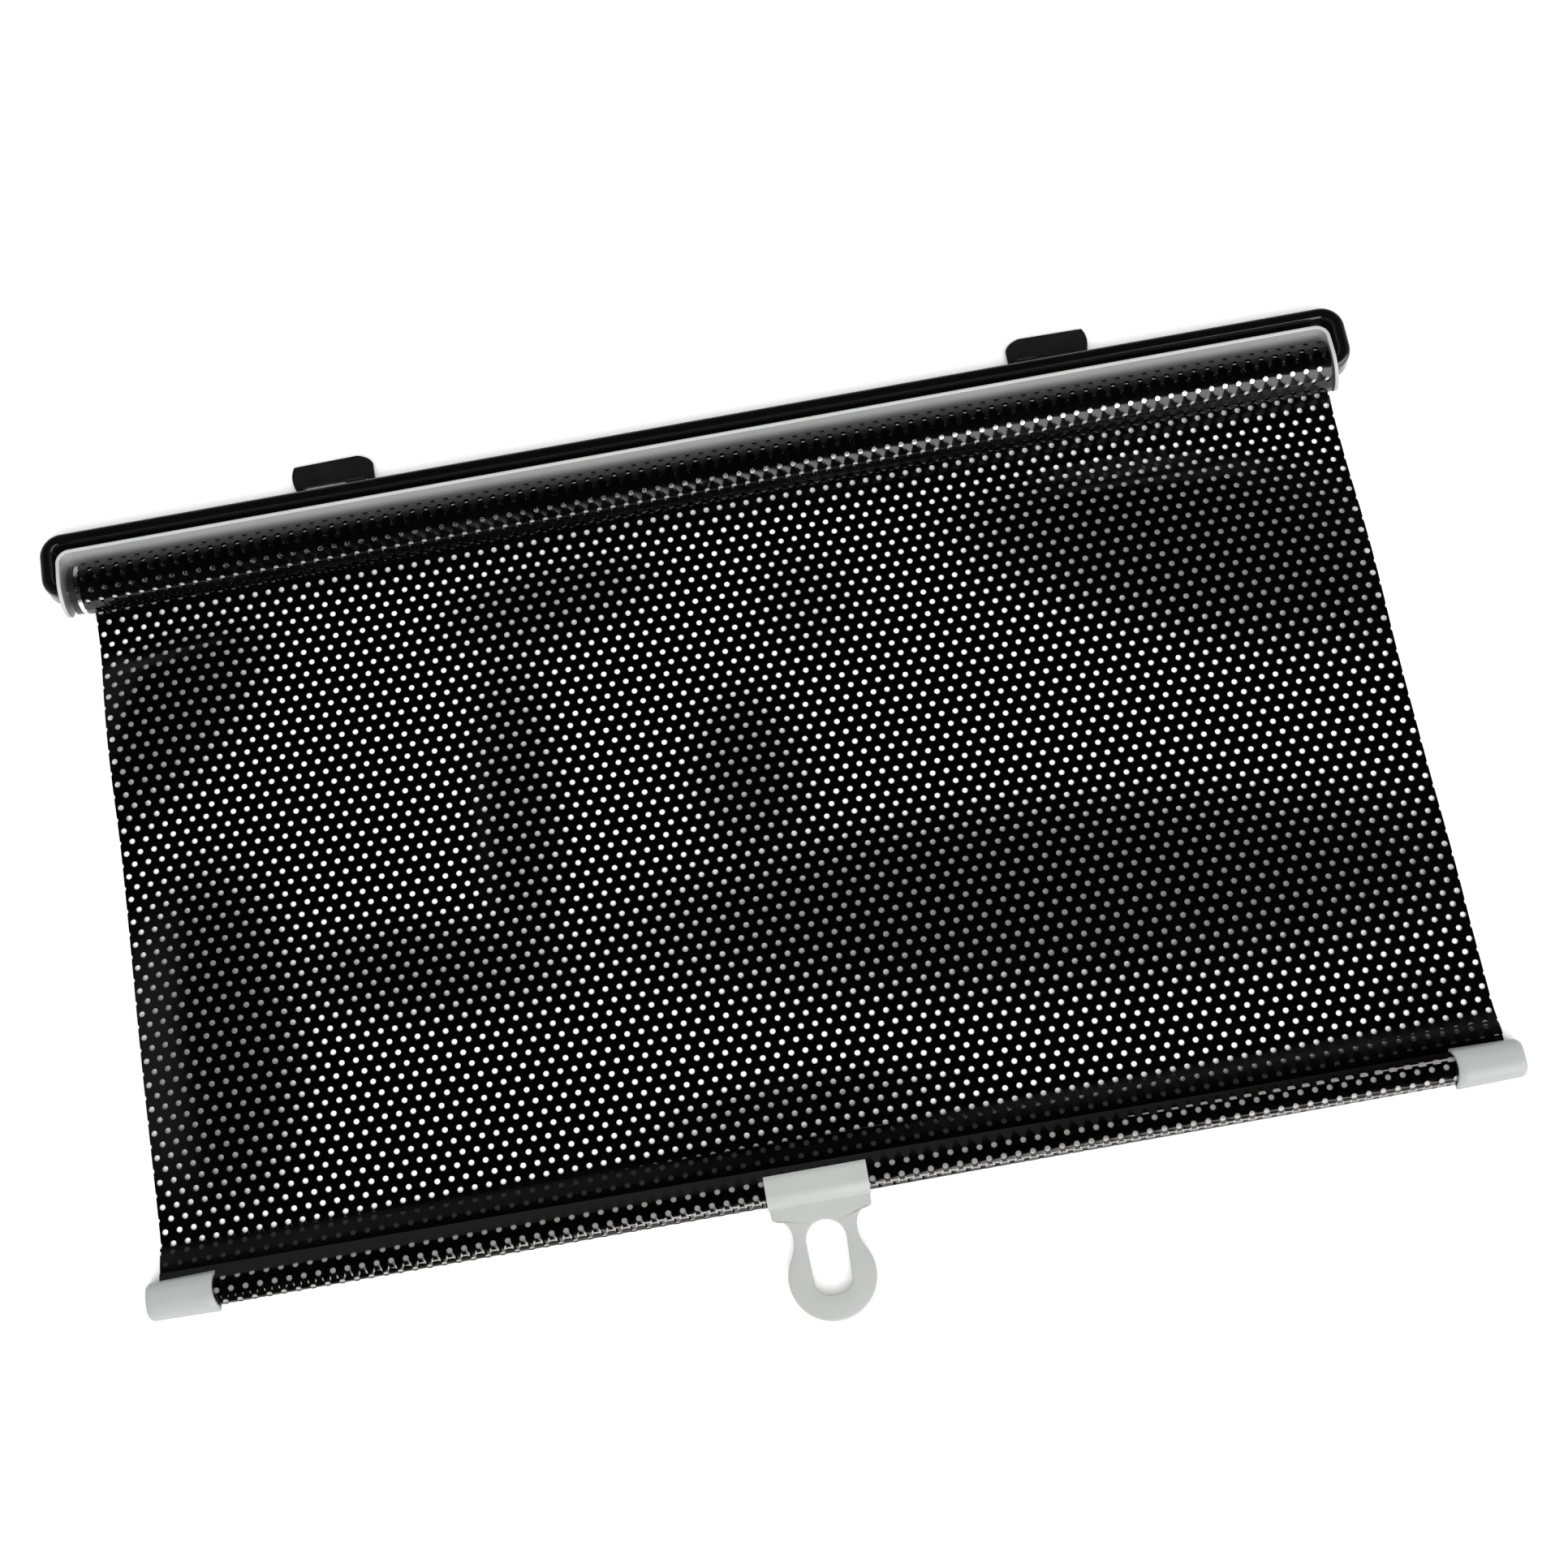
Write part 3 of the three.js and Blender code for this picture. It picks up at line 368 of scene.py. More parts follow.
RIPPLES = (
    (-207 * MM, -60 * MM, 45 * MM, 24 * MM, 48, 4.6 * MM),
    (-200 * MM, -188 * MM, 54 * MM, 26 * MM, 88, 4.6 * MM),
    (-122 * MM, -177 * MM, 50 * MM, 17 * MM, -8, 2.2 * MM),
    (-84 * MM, -125 * MM, 64 * MM, 15 * MM, 86, 2.1 * MM),
    (-60 * MM, -43 * MM, 38 * MM, 18 * MM, 8, 2.6 * MM),
    (102 * MM, -190 * MM, 126 * MM, 29 * MM, -5, 4.6 * MM),
    (0 * MM, -128 * MM, 32 * MM, 19 * MM, 90, 2.5 * MM),
    (180 * MM, -68 * MM, 80 * MM, 32 * MM, -20, 4.8 * MM),
    (-3 * MM, -252 * MM, 46 * MM, 12 * MM, 0, 3.0 * MM),
    (32 * MM, -63 * MM, 22 * MM, 19 * MM, 90, 0.9 * MM),
    (215 * MM, -248 * MM, 20 * MM, 11 * MM, 0, 0.8 * MM),
)
SHEET_START = AXIS_Y - 1.0 * MM
SHEET_END = BAR_Y + SLAT_HALF_WIDTH + 0.8 * MM
FLAP = 4.2 * MM
FLAP_END = BAR_Y + SLAT_HALF_WIDTH + FLAP
ROLL_RUN = 18.0 * MM
BAR_RUN = 17.0 * MM
FLAT_BY_ROLL = 8.0 * MM
FLAT_BY_BAR = 4.0 * MM
RIPPLE_FADE = 24.0 * MM


def film_height(x, y, rest):
    """Height of the sheet's underside: it comes down from the roll, lies on the table in long low
    humps and climbs to the bar. A hump is the exponential of minus the cube of the distance from its
    middle, measured in its half sizes, which gives it a flat top. Where humps meet, the sheet follows
    the fourth root of the sum of their fourth powers, close to the higher one."""
    from_roll = SHEET_START - y
    to_bar = y - SHEET_END
    powers = np.zeros_like(x)
    for hump_x, hump_y, along, across, turn, height in RIPPLES:
        c, s = math.cos(math.radians(turn)), math.sin(math.radians(turn))
        a = ((x - hump_x) * c + (y - hump_y) * s) / along
        b = ((y - hump_y) * c - (x - hump_x) * s) / across
        powers += (height * np.exp(-(a * a + b * b) ** 1.5)) ** 4
    fade = smooth((from_roll - FLAT_BY_ROLL) / RIPPLE_FADE) * smooth((to_bar - FLAT_BY_BAR) / RIPPLE_FADE)
    at_roll = (AXIS_Z - ROLL_RADIUS - rest) * smooth(1 - from_roll / ROLL_RUN)
    at_bar = (BAR_Z - 0.5 * MM - rest) * smooth(1 - to_bar / BAR_RUN)
    return rest + at_roll + at_bar + powers ** 0.25 * fade


def screen_place(settings):
    """Turns film coordinates into the sheet on the table."""
    c, s = math.cos(settings.askew), math.sin(settings.askew)
    x0, y0 = settings.centre

    def place(u, w, lift):
        x = x0 + u * c - w * s
        y = y0 + u * s + w * c
        return np.column_stack([x, y, film_height(x, y, settings.above_table) + lift])

    return place


class Path:
    """A smooth line in (Y, Z) by arc length, with the normal on its left."""

    def __init__(self, points):
        steps = np.linalg.norm(np.diff(points, axis=0), axis=1)
        self.s = np.concatenate([[0.0], np.cumsum(steps)])
        self.points = points
        along = np.gradient(points, self.s, axis=0)
        along /= np.linalg.norm(along, axis=1)[:, None]
        self.normals = np.column_stack([-along[:, 1], along[:, 0]])
        self.length = self.s[-1]

    def at(self, s, lift):
        y, z, ny, nz = (
            np.interp(s, self.s, column) for column in (*self.points.T, *self.normals.T))
        return y + ny * lift, z + nz * lift


def hem_path(bar):
    """The film's way round the slat: from the sheet under the bar, forward, round the front, back
    over the top and down again onto the sheet. Also gives the length up to the front of the top."""
    a, h = SLAT_HALF_WIDTH + bar.hem_gap, SLAT_HALF_HEIGHT + bar.hem_gap
    straight = a - h
    gap = 0.18 * MM
    tail = SLAT_HALF_WIDTH + FLAP
    reach = tail - a + h * 1.25
    t = np.linspace(0, 1, 40)
    over = np.column_stack([tail - reach * t, gap + (h - gap) * smooth(t)])[::-1]
    top = np.column_stack([np.linspace(-straight, over[0, 0], 30)[:-1], np.full(29, h)])
    front = arc((-straight, 0.0), h, 270, 90, 60)[:-1]
    under = over[::-1] * (1, -1)
    bottom = top[::-1] * (1, -1)
    path = Path(np.vstack([under, bottom, front[1:], top, over]) + (BAR_Y, BAR_Z))
    return path, path.s[len(under) + len(bottom) + len(front) - 1]


# Finishes

def node_tree(name):
    material = bpy.data.materials.new(name)
    material.use_nodes = True
    tree = material.node_tree
    return material, tree, tree.nodes["Principled BSDF"]


def add_node(tree, kind, inputs, **settings):
    """A node with its settings. Each input is linked to a socket or holds a plain value."""
    node = tree.nodes.new(kind)
    for name, value in settings.items():
        setattr(node, name, value)
    for name, value in inputs.items():
        if isinstance(value, bpy.types.NodeSocket):
            tree.links.new(value, node.inputs[name])
        else:
            node.inputs[name].default_value = value
    return node


def map_range(tree, value, start, end, low, high, **settings):
    node = add_node(tree, "ShaderNodeMapRange", {
        "Value": value, "From Min": start, "From Max": end, "To Min": low, "To Max": high}, **settings)
    return node.outputs["Result"]


NOISE_MIDDLE = (0.3, 0.7)


def noise(tree, scale, detail=3.0, stretch=(1.0, 1.0, 1.0)):
    """Noise on Object coordinates, with scale in waves per metre."""
    place = tree.nodes.new("ShaderNodeTexCoord")
    mapping = add_node(tree, "ShaderNodeMapping", {"Vector": place.outputs["Object"], "Scale": stretch})
    texture = add_node(tree, "ShaderNodeTexNoise", {
        "Vector": mapping.outputs["Vector"], "Scale": scale, "Detail": detail})
    return texture.outputs["Fac"]


def spread(tree, value, low, high):
    """Maps the middle of a noise to the range from low to high."""
    return map_range(tree, value, *NOISE_MIDDLE, low, high)


def two_tones(tree, value, colour, change):
    """A colour that drifts by a share of itself with the value."""
    node = add_node(tree, "ShaderNodeValToRGB", {"Fac": value})
    for i, share in enumerate((1 - change, 1 + change)):
        element = node.color_ramp.elements[i]
        element.position = NOISE_MIDDLE[i]
        element.color = (*[c * share for c in colour], 1)
    return node.outputs["Color"]


def bump(tree, shader, value, depth):
    node = add_node(tree, "ShaderNodeBump", {"Height": value, "Distance": depth, "Strength": 1.0})
    tree.links.new(node.outputs["Normal"], shader.inputs["Normal"])


def plastic(name, colour, roughness, grain, depth, drift=0.05, specular=0.5, stretch=(1, 1, 1)):
    """Moulded plastic: fine grain in the bump, and slow drift in colour and roughness."""
    material, tree, shader = node_tree(name)
    tree.links.new(
        two_tones(tree, noise(tree, 60.0), colour, drift), shader.inputs["Base Color"])
    tree.links.new(
        spread(tree, noise(tree, 140.0, stretch=stretch), roughness * 0.85, roughness * 1.15),
        shader.inputs["Roughness"])
    shader.inputs["Specular IOR Level"].default_value = specular
    bump(tree, shader, noise(tree, grain, 4.0, stretch), depth)
    return material


def metal(name, colour, roughness, metallic=1.0, streak=(0.05, 1.0, 1.0)):
    """Drawn metal: streaks along the piece in the roughness and the bump."""
    material, tree, shader = node_tree(name)
    tree.links.new(
        two_tones(tree, noise(tree, 300.0, stretch=streak), colour, 0.06), shader.inputs["Base Color"])
    tree.links.new(
        spread(tree, noise(tree, 2000.0, stretch=streak), roughness * 0.8, roughness * 1.2),
        shader.inputs["Roughness"])
    shader.inputs["Metallic"].default_value = metallic
    bump(tree, shader, noise(tree, 3000.0, stretch=streak), 0.001 * MM)
    return material


def film_finish(colour):
    """Glossy black film: smooth, with faint smears in its gloss and slow waves in its skin."""
    material, tree, shader = node_tree("film_skin")
    tree.links.new(
        two_tones(tree, noise(tree, 25.0), tuple(colour), 0.2), shader.inputs["Base Color"])
    tree.links.new(
        spread(tree, noise(tree, 70.0, 5.0, (1.0, 0.35, 1.0)), 0.12, 0.2), shader.inputs["Roughness"])
    bump(tree, shader, noise(tree, 45.0, 2.0), 0.12 * MM)
    return material


def bright_finish():
    """The drawn metal of the tube and the rivets, made once."""
    return bpy.data.materials.get("drawn_metal") or metal("drawn_metal", (0.8, 0.8, 0.79), 0.2)


def weld_finish(colour):
    return plastic("film_weld", tuple(colour), 0.6, 1500.0, 0.02 * MM, 0.2, 0.2)


def rail_finish(colour):
    return plastic("rail_black", tuple(colour), 0.13, 500.0, 0.003 * MM, 0.1)


def clip_finish(colour):
    return plastic("clip_black", tuple(colour), 0.5, 1800.0, 0.02 * MM, 0.12, 0.35)


def bracket_finish(colour):
    return plastic("bracket_grey", tuple(colour), 0.42, 900.0, 0.006 * MM, 0.03, 0.4, (0.15, 1, 1))


def cap_finish(colour):
    return plastic("cap_grey", tuple(colour), 0.4, 700.0, 0.01 * MM, 0.025, 0.45)


def tab_finish(colour):
    return plastic("tab_grey", tuple(colour), 0.45, 900.0, 0.012 * MM, 0.03, 0.4)


# Operators, one for each piece or group of like pieces

class SUNSHADE_OT_stage(Operator):
    """Camera, floor, lamp and the light round the object"""
    bl_idname = "sunshade.stage"
    bl_label = "Stage"

    def execute(self, context):
        stage = context.scene.sunshade_stage
        add_camera(context, stage)
        add_floor(stage)
        add_lamp(context, stage)
        add_world(context, stage)
        context.scene.view_settings.view_transform = "Standard"
        return {"FINISHED"}


def add_camera(context, stage):
    data = bpy.data.cameras.new("camera")
    data.sensor_width = 36.0
    data.lens = stage.lens
    data.clip_start = 0.05
    camera = bpy.data.objects.new("camera", data)
    camera.location = stage.camera_place
    camera.rotation_euler = Euler(stage.camera_turn, "XYZ")
    context.scene.collection.objects.link(camera)
    context.scene.camera = camera


SEEN_WHITE = 1.58
PLAIN_WHITE = 0.8


def add_floor(stage):
    """A white floor. What a camera or a reflection sees of it is lifted to paper white where it is
    fully lit, so only the object's own shade shows."""
    half = stage.floor_size / 2
    corners = np.array([(-half, -half, 0), (half, -half, 0), (half, half, 0), (-half, half, 0)])
    floor = new_piece("floor", corners, [(0, 1, 2, 3)])
    material = bpy.data.materials.new("floor_white")
    material.use_nodes = True
    tree = material.node_tree
    tree.nodes.clear()
    seen = add_node(tree, "ShaderNodeBsdfDiffuse", {"Color": (SEEN_WHITE, SEEN_WHITE, SEEN_WHITE, 1)})
    plain = add_node(tree, "ShaderNodeBsdfDiffuse", {"Color": (PLAIN_WHITE, PLAIN_WHITE, PLAIN_WHITE, 1)})
    rays = tree.nodes.new("ShaderNodeLightPath").outputs
    either = math_node(tree, "MAXIMUM", rays["Is Camera Ray"], rays["Is Glossy Ray"])
    any_seen = math_node(tree, "MAXIMUM", either, rays["Is Transmission Ray"])
    mix = add_node(tree, "ShaderNodeMixShader", {
        "Fac": any_seen, 1: plain.outputs[0], 2: seen.outputs[0]})
    add_node(tree, "ShaderNodeOutputMaterial", {"Surface": mix.outputs[0]})
    floor.data.materials.append(material)


LAMP_WIDTH = math.radians(50)
LAMP_TURN = (math.radians(38), math.radians(4), 0)


def add_lamp(context, stage):
    """One wide soft lamp above the front, which gives the shapes their light and shade."""
    data = bpy.data.lights.new("soft_lamp", "SUN")
    data.energy = stage.key_strength
    data.angle = LAMP_WIDTH
    lamp = bpy.data.objects.new("soft_lamp", data)
    lamp.rotation_euler = Euler(LAMP_TURN, "XYZ")
    lamp.visible_glossy = False
    context.scene.collection.objects.link(lamp)


def rising(tree, value, start, end):
    """A smooth step from zero to one between two values."""
    return map_range(tree, value, start, end, 0.0, 1.0, interpolation_type="SMOOTHSTEP")


def falling(tree, value, start, end):
    """A smooth step from one to zero between two values."""
    return map_range(tree, value, start, end, 1.0, 0.0, interpolation_type="SMOOTHSTEP")


def math_node(tree, operation, first, second):
    return add_node(tree, "ShaderNodeMath", {0: first, 1: second}, operation=operation).outputs[0]


def times(tree, first, second):
    return math_node(tree, "MULTIPLY", first, second)


def toward(tree, direction, axis):
    """How far the light's direction points along an axis."""
    node = add_node(tree, "ShaderNodeVectorMath", {0: direction, 1: axis}, operation="DOT_PRODUCT")
    return node.outputs["Value"]


# Strengths of the lights that glossy surfaces reflect, and the wedge's lower and upper height over
# the horizon, how wide it opens towards the right, and the shares of that below and above

WALL_LIGHT, END_LIGHT, LOW_LIGHT, WEDGE_LIGHT = 0.4, 0.3, 0.6, 5.5
WEDGE_BOTTOM, WEDGE_TOP = 0.68, 0.7
WEDGE_OPENING, WEDGE_DOWN, WEDGE_UP = 6.5, 0.23, 0.9
LEAST_AHEAD = 0.05


def studio(tree):
    """What glossy surfaces reflect: a dark ceiling, a pale wall behind, paler low down all round,
    and a bright wedge of light over the right front. The wedge lies between two heights above the
    horizon, which part from each other towards the right."""
    direction = tree.nodes.new("ShaderNodeTexCoord").outputs["Generated"]
    side = toward(tree, direction, (1, 0, 0))
    back = toward(tree, direction, (0, 1, 0))
    up = toward(tree, direction, (0, 0, 1))
    wall = times(tree, falling(tree, up, 0.5, 0.75), rising(tree, back, 0.05, 0.35))
    ends = rising(tree, math_node(tree, "ABSOLUTE", side, 0.0), 0.3, 0.6)
    low = falling(tree, up, 0.1, 0.3)
    ahead = math_node(tree, "MAXIMUM", times(tree, back, -1.0), LEAST_AHEAD)
    rise = math_node(tree, "DIVIDE", up, ahead)
    opening = times(tree, math_node(tree, "MAXIMUM", side, 0.0), WEDGE_OPENING)
    over_bottom = math_node(
        tree, "ADD", math_node(tree, "SUBTRACT", rise, WEDGE_BOTTOM), times(tree, opening, WEDGE_DOWN))
    under_top = math_node(
        tree, "SUBTRACT", math_node(tree, "ADD", WEDGE_TOP, times(tree, opening, WEDGE_UP)), rise)
    inside = times(tree, rising(tree, over_bottom, 0.0, 0.05), rising(tree, under_top, 0.0, 0.08))
    wedge = times(tree, inside, falling(tree, back, -0.1, 0.0))
    total = times(tree, wall, WALL_LIGHT)
    for light, strength in ((ends, END_LIGHT), (low, LOW_LIGHT), (wedge, WEDGE_LIGHT)):
        total = math_node(tree, "MAXIMUM", total, times(tree, light, strength))
    return total


def add_world(context, stage):
    """Even light for matt surfaces, white for the camera, and the studio for reflections."""
    world = bpy.data.worlds.new("studio")
    world.use_nodes = True
    tree = world.node_tree
    tree.nodes.clear()
    rays = tree.nodes.new("ShaderNodeLightPath").outputs
    even, white, seen = [
        add_node(tree, "ShaderNodeBackground", {"Strength": strength}).outputs[0]
        for strength in (stage.fill_strength, 1.0, studio(tree))]
    glossy = add_node(tree, "ShaderNodeMixShader", {"Fac": rays["Is Glossy Ray"], 1: even, 2: seen})
    camera = add_node(tree, "ShaderNodeMixShader", {
        "Fac": rays["Is Camera Ray"], 1: glossy.outputs[0], 2: white})
    add_node(tree, "ShaderNodeOutputWorld", {"Surface": camera.outputs[0]})
    world.cycles.sampling_method = "NONE"
    context.scene.world = world


def film_material(context):
    return bpy.data.materials.get("film_skin") or film_finish(context.scene.sunshade_screen.colour)


class SUNSHADE_OT_screen(Operator):
    """The perforated sheet from the roll to the bar, and the film's end folded back onto it"""
    bl_idname = "sunshade.screen"
    bl_label = "Screen"

    def execute(self, context):
        settings = context.scene.sunshade_screen
        black = film_material(context)
        y0 = settings.centre[1]
        slack = settings.width / 2 * math.sin(settings.askew)
        low, high = SHEET_END + slack - y0, SHEET_START - y0
        sheet = perforated("screen_sheet", settings, low, high, 0.0, screen_place(settings))
        flap = weld_flap("screen_flap", settings, context.scene.sunshade_bar)
        for piece in (sheet, flap):
            shaded(piece, black, 40.0)
            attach(piece, "holder")
            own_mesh(piece)
        matt_below(sheet, settings)
        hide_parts("film_sheet")
        return {"FINISHED"}


HEM_SET_IN = 2.0 * MM
FLAP_LIFT = 0.3 * MM
WELD_EDGE = 0.5 * MM


def hem_phase(bar, settings):
    """Length along the hem's path where a row of holes crosses the bar's middle, and the path's whole
    length."""
    path, top_start = hem_path(bar)
    return top_start + settings.hem_row, path.length


def weld_flap(name, settings, bar):
    """The film's end, folded back over the bar onto the sheet. The fold turns its rows the other way,
    and they go on from the hem's."""
    phase, length = hem_phase(bar, settings)
    slope = math.sin(settings.askew)

    def place(u, w, lift):
        x = BAR_X + u
        y = FLAP_END + w - u * slope
        return np.column_stack([x, y, film_height(x, y, settings.above_table) + FLAP_LIFT + lift])

    return perforated(name, settings, -HEM_SET_IN, settings.weld, phase - length, place)


def matt_below(sheet, settings):
    """Gives the sheet a matt finish where the folded end lies on it."""
    mesh = sheet.data
    mesh.materials.append(weld_finish(settings.weld_colour))
    centres = np.empty(len(mesh.polygons) * 3)
    mesh.polygons.foreach_get("center", centres)
    x, y = centres.reshape(-1, 3)[:, :2].T
    edge = FLAP_END + settings.weld - (x - BAR_X) * math.sin(settings.askew)
    mesh.polygons.foreach_set("material_index", (y < edge - WELD_EDGE).astype(np.int32))


# The roll's visible turn runs through these shares of half a turn to both sides of its top, with a row
# of holes at this angle. The walls are those of the tube and the slat.

ROLL_START, ROLL_END = 0.97, 0.99
ROLL_ROW = math.radians(-4)
TUBE_WALL = 0.8 * MM
SLAT_WALL = 0.9 * MM


def hollow_bar(name, node, half_width, half_height, wall, centre, material, steps):
    """A tube of flat oval section, as long as a node."""
    low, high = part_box(node)
    outside = flat_oval(half_width, half_height, steps) + centre
    bore = flat_oval(half_width - wall, half_height - wall, steps) + centre
    rings = [with_x(low.x, bore), with_x(low.x, outside), with_x(high.x, outside), with_x(high.x, bore)]
    return skinned(name, np.stack(rings), material, round_along=True)


class SUNSHADE_OT_roll(Operator):
    """The film's turns on the roller, and the metal tube below them"""
    bl_idname = "sunshade.roll"
    bl_label = "Roll"

    def execute(self, context):
        settings = context.scene.sunshade_screen
        inside = ROLL_RADIUS - settings.thickness

        def place(u, s, lift):
            turn = s / ROLL_RADIUS
            radius = inside + lift
            return np.column_stack([
                FILM_X + u, AXIS_Y + radius * np.sin(turn), AXIS_Z + radius * np.cos(turn)])

        half_turn = math.pi * ROLL_RADIUS
        film = perforated(
            "roll_film", settings, -half_turn * ROLL_START, half_turn * ROLL_END,
            ROLL_RADIUS * ROLL_ROW, place)
        shaded(film, film_material(context), 40.0)
        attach(film, "roller")
        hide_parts("film_roll")
        tube = hollow_bar(
            "roll_tube", "roller_tube", TUBE_RADIUS, TUBE_RADIUS, TUBE_WALL, (AXIS_Y, AXIS_Z),
            bright_finish(), 48)
        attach(tube, "roller")
        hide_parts("roller_tube")
        return {"FINISHED"}


class SUNSHADE_OT_bar(Operator):
    """The slat and the film's hem round it"""
    bl_idname = "sunshade.bar"
    bl_label = "Bar"

    def execute(self, context):
        settings = context.scene.sunshade_screen
        bar = context.scene.sunshade_bar
        path, _ = hem_path(bar)
        phase, length = hem_phase(bar, settings)
        slope = math.sin(settings.askew)

        def place(u, s, lift):
            y, z = path.at(s - u * slope, lift)
            return np.column_stack([BAR_X + u, y, z])

        hem = perforated("bar_hem", settings, HEM_SET_IN, length - HEM_SET_IN, phase, place)
        shaded(hem, film_material(context), 40.0)
        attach(hem, "bar")
        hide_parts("hem")
        slat = hollow_bar(
            "bar_slat", "slat", SLAT_HALF_WIDTH, SLAT_HALF_HEIGHT, SLAT_WALL, (BAR_Y, BAR_Z),
            metal("slat_metal", (0.5, 0.49, 0.47), 0.45, 0.35), 24)
        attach(slat, "bar")
        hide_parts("slat")
        return {"FINISHED"}


def rounded_corners(points, cut, rounds):
    """A closed outline with its corners cut off again and again, which leaves soft creases."""
    for _ in range(rounds):
        after = np.roll(points, -1, axis=0)
        points = np.stack([points + (after - points) * cut, after + (points - after) * cut], axis=1)
        points = points.reshape(-1, 2)
    return points


def cap_section(half_width, half_height):
    """A cap's section in (Y, Z): a level top between two slopes and blunt sides, the same below, with
    softened corners."""
    corners = np.array([
        (1.0, 0.1), (0.8, 0.76), (0.36, 1.0), (-0.36, 1.0), (-0.82, 0.7), (-1.0, 0.08)])
    outline = np.vstack([corners, corners[::-1] * (1, -1)]) * (half_width, half_height)
    return rounded_corners(outline, 0.2, 3)


class SUNSHADE_OT_caps(Operator):
    """The two end caps of the bar"""
    bl_idname = "sunshade.caps"
    bl_label = "End Caps"

    def execute(self, context):
        bar = context.scene.sunshade_bar
        grey = cap_finish(bar.cap_colour)
        for node in ("end_cap_left", "end_cap_right"):
            piece = end_cap(node + "_shell", node, grey)
            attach(piece, "bar")
            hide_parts(node)
        return {"FINISHED"}


CAP_SHY = 0.8 * MM


def end_cap(name, node, material):
    """A shell from its rounded end to its mouth and back inside. Each ring is the section, drawn in by
    a quarter ellipse at the closed end and widening a little towards the mouth. The mouth is hollow:
    it follows a parabola across the bar, and its front lip reaches further than its rear one."""
    low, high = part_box(node)
    sign = -1.0 if low.x < 0 else 1.0
    end = (low.x if low.x < 0 else high.x) - sign * CAP_SHY
    half_width, half_height = (high.y - low.y) / 2, (high.z - low.z) / 2
    length = high.x - low.x
    wall, round_end, taper = 1.2 * MM, 3.0 * MM, 0.45 * MM
    bend, skew = 1.3 * MM, 0.2 * MM
    section = cap_section(half_width, half_height)
    across = section[:, 0] / half_width
    mouth = length - CAP_SHY - bend * (1 - across ** 2) - skew * (1 + across)

    def ring(along, inset):
        scale = (1 - inset / half_width, 1 - inset / half_height)
        return np.column_stack([end - sign * along, section * scale + (BAR_Y, (low.z + high.z) / 2)])

    rings = []
    for angle in np.linspace(np.pi / 2, 0, 9):
        along = np.full(len(section), round_end * (1 - math.sin(angle)))
        rings.append(ring(along, taper + round_end * (1 - math.cos(angle))))
    for share in (0.3, 0.6, 0.85, 1.0):
        rings.append(ring(round_end + (mouth - round_end) * share, taper * (1 - share)))
    lip = 0.3 * MM
    rings.insert(-1, ring(mouth - lip, 0.0))
    rings[-1] = ring(mouth, lip)
    for share in (1.0, 0.6, 0.25):
        rings.append(ring(round_end + (mouth - round_end) * share, wall))
    return skinned(name, np.stack(rings), material, sharp=50.0)


class SUNSHADE_OT_pull_tab(Operator):
    """The clip over the bar and the ring to pull it by"""
    bl_idname = "sunshade.pull_tab"
    bl_label = "Pull Tab"

    def execute(self, context):
        bar = context.scene.sunshade_bar
        piece = pull_tab("pull_tab_body", tab_finish(bar.tab_colour))
        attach(piece, "bar")
        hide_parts("pull_tab")
        return {"FINISHED"}


RING_RADIUS = 14.9 * MM
RING_FROM_CLIP = 25.2 * MM
TAB_SIDE = 1.85 * MM


def bent(start, control, end, steps=24):
    """A quadratic curve from start to end, drawn towards its control point."""
    t = np.linspace(0, 1, steps)[:, None]
    a, b, c = (np.array(point) for point in (start, control, end))
    return (1 - t) ** 2 * a + 2 * t * (1 - t) * b + t ** 2 * c


def tab_outline(front):
    """Half the ring plate's outline, from the clip to the bottom of the ring, in (X, Y) round the
    tab's middle: a hollow shoulder, a neck that widens again, and the ring."""
    half, neck = 17.1 * MM, 10.9 * MM
    shoulder, waist = front - 3.6 * MM, front - 11.2 * MM
    ring_y = front - RING_FROM_CLIP
    join = math.radians(33.5)
    meet = (RING_RADIUS * math.cos(join), ring_y + RING_RADIUS * math.sin(join))
    return np.vstack([
        np.array([(0.0, front + 0.9 * MM), (half, front + 0.9 * MM)]),
        bent((half, shoulder), (neck, shoulder), (neck, waist))[:-1],
        bent((neck, waist), (neck, waist - 2.6 * MM), meet)[:-1],
        arc((0, ring_y), RING_RADIUS, math.degrees(join), -90, 40),
    ])


def eye_outline(front, steps=30):
    """Half the eye's outline from its top to its bottom: an arch, straight sides that draw in a little
    and a flatter arch."""
    arch, foot, depth = 7.0 * MM, 6.4 * MM, 4.6 * MM
    top = front - 5.7 * MM - arch
    bottom = front - 31.5 * MM + depth
    lower = arc((0, 0), foot, 0, -90, steps) * (1, depth / foot) + (0, bottom)
    return np.vstack([arc((0, top), arch, 90, 0, steps), lower])


def resampled(points, shares):
    """Points of the same line at given shares of its length."""
    steps = np.linalg.norm(np.diff(points, axis=0), axis=1)
    s = np.concatenate([[0.0], np.cumsum(steps)])
    return np.column_stack([np.interp(shares * s[-1], s, column) for column in points.T])


# Places on the outer outline, the shoulder's corner and the neck, and those of the eye that face them

OUTER_SHARES = (0.0, 0.3, 0.44, 1.0)
INNER_SHARES = (0.0, 0.1, 0.32, 1.0)


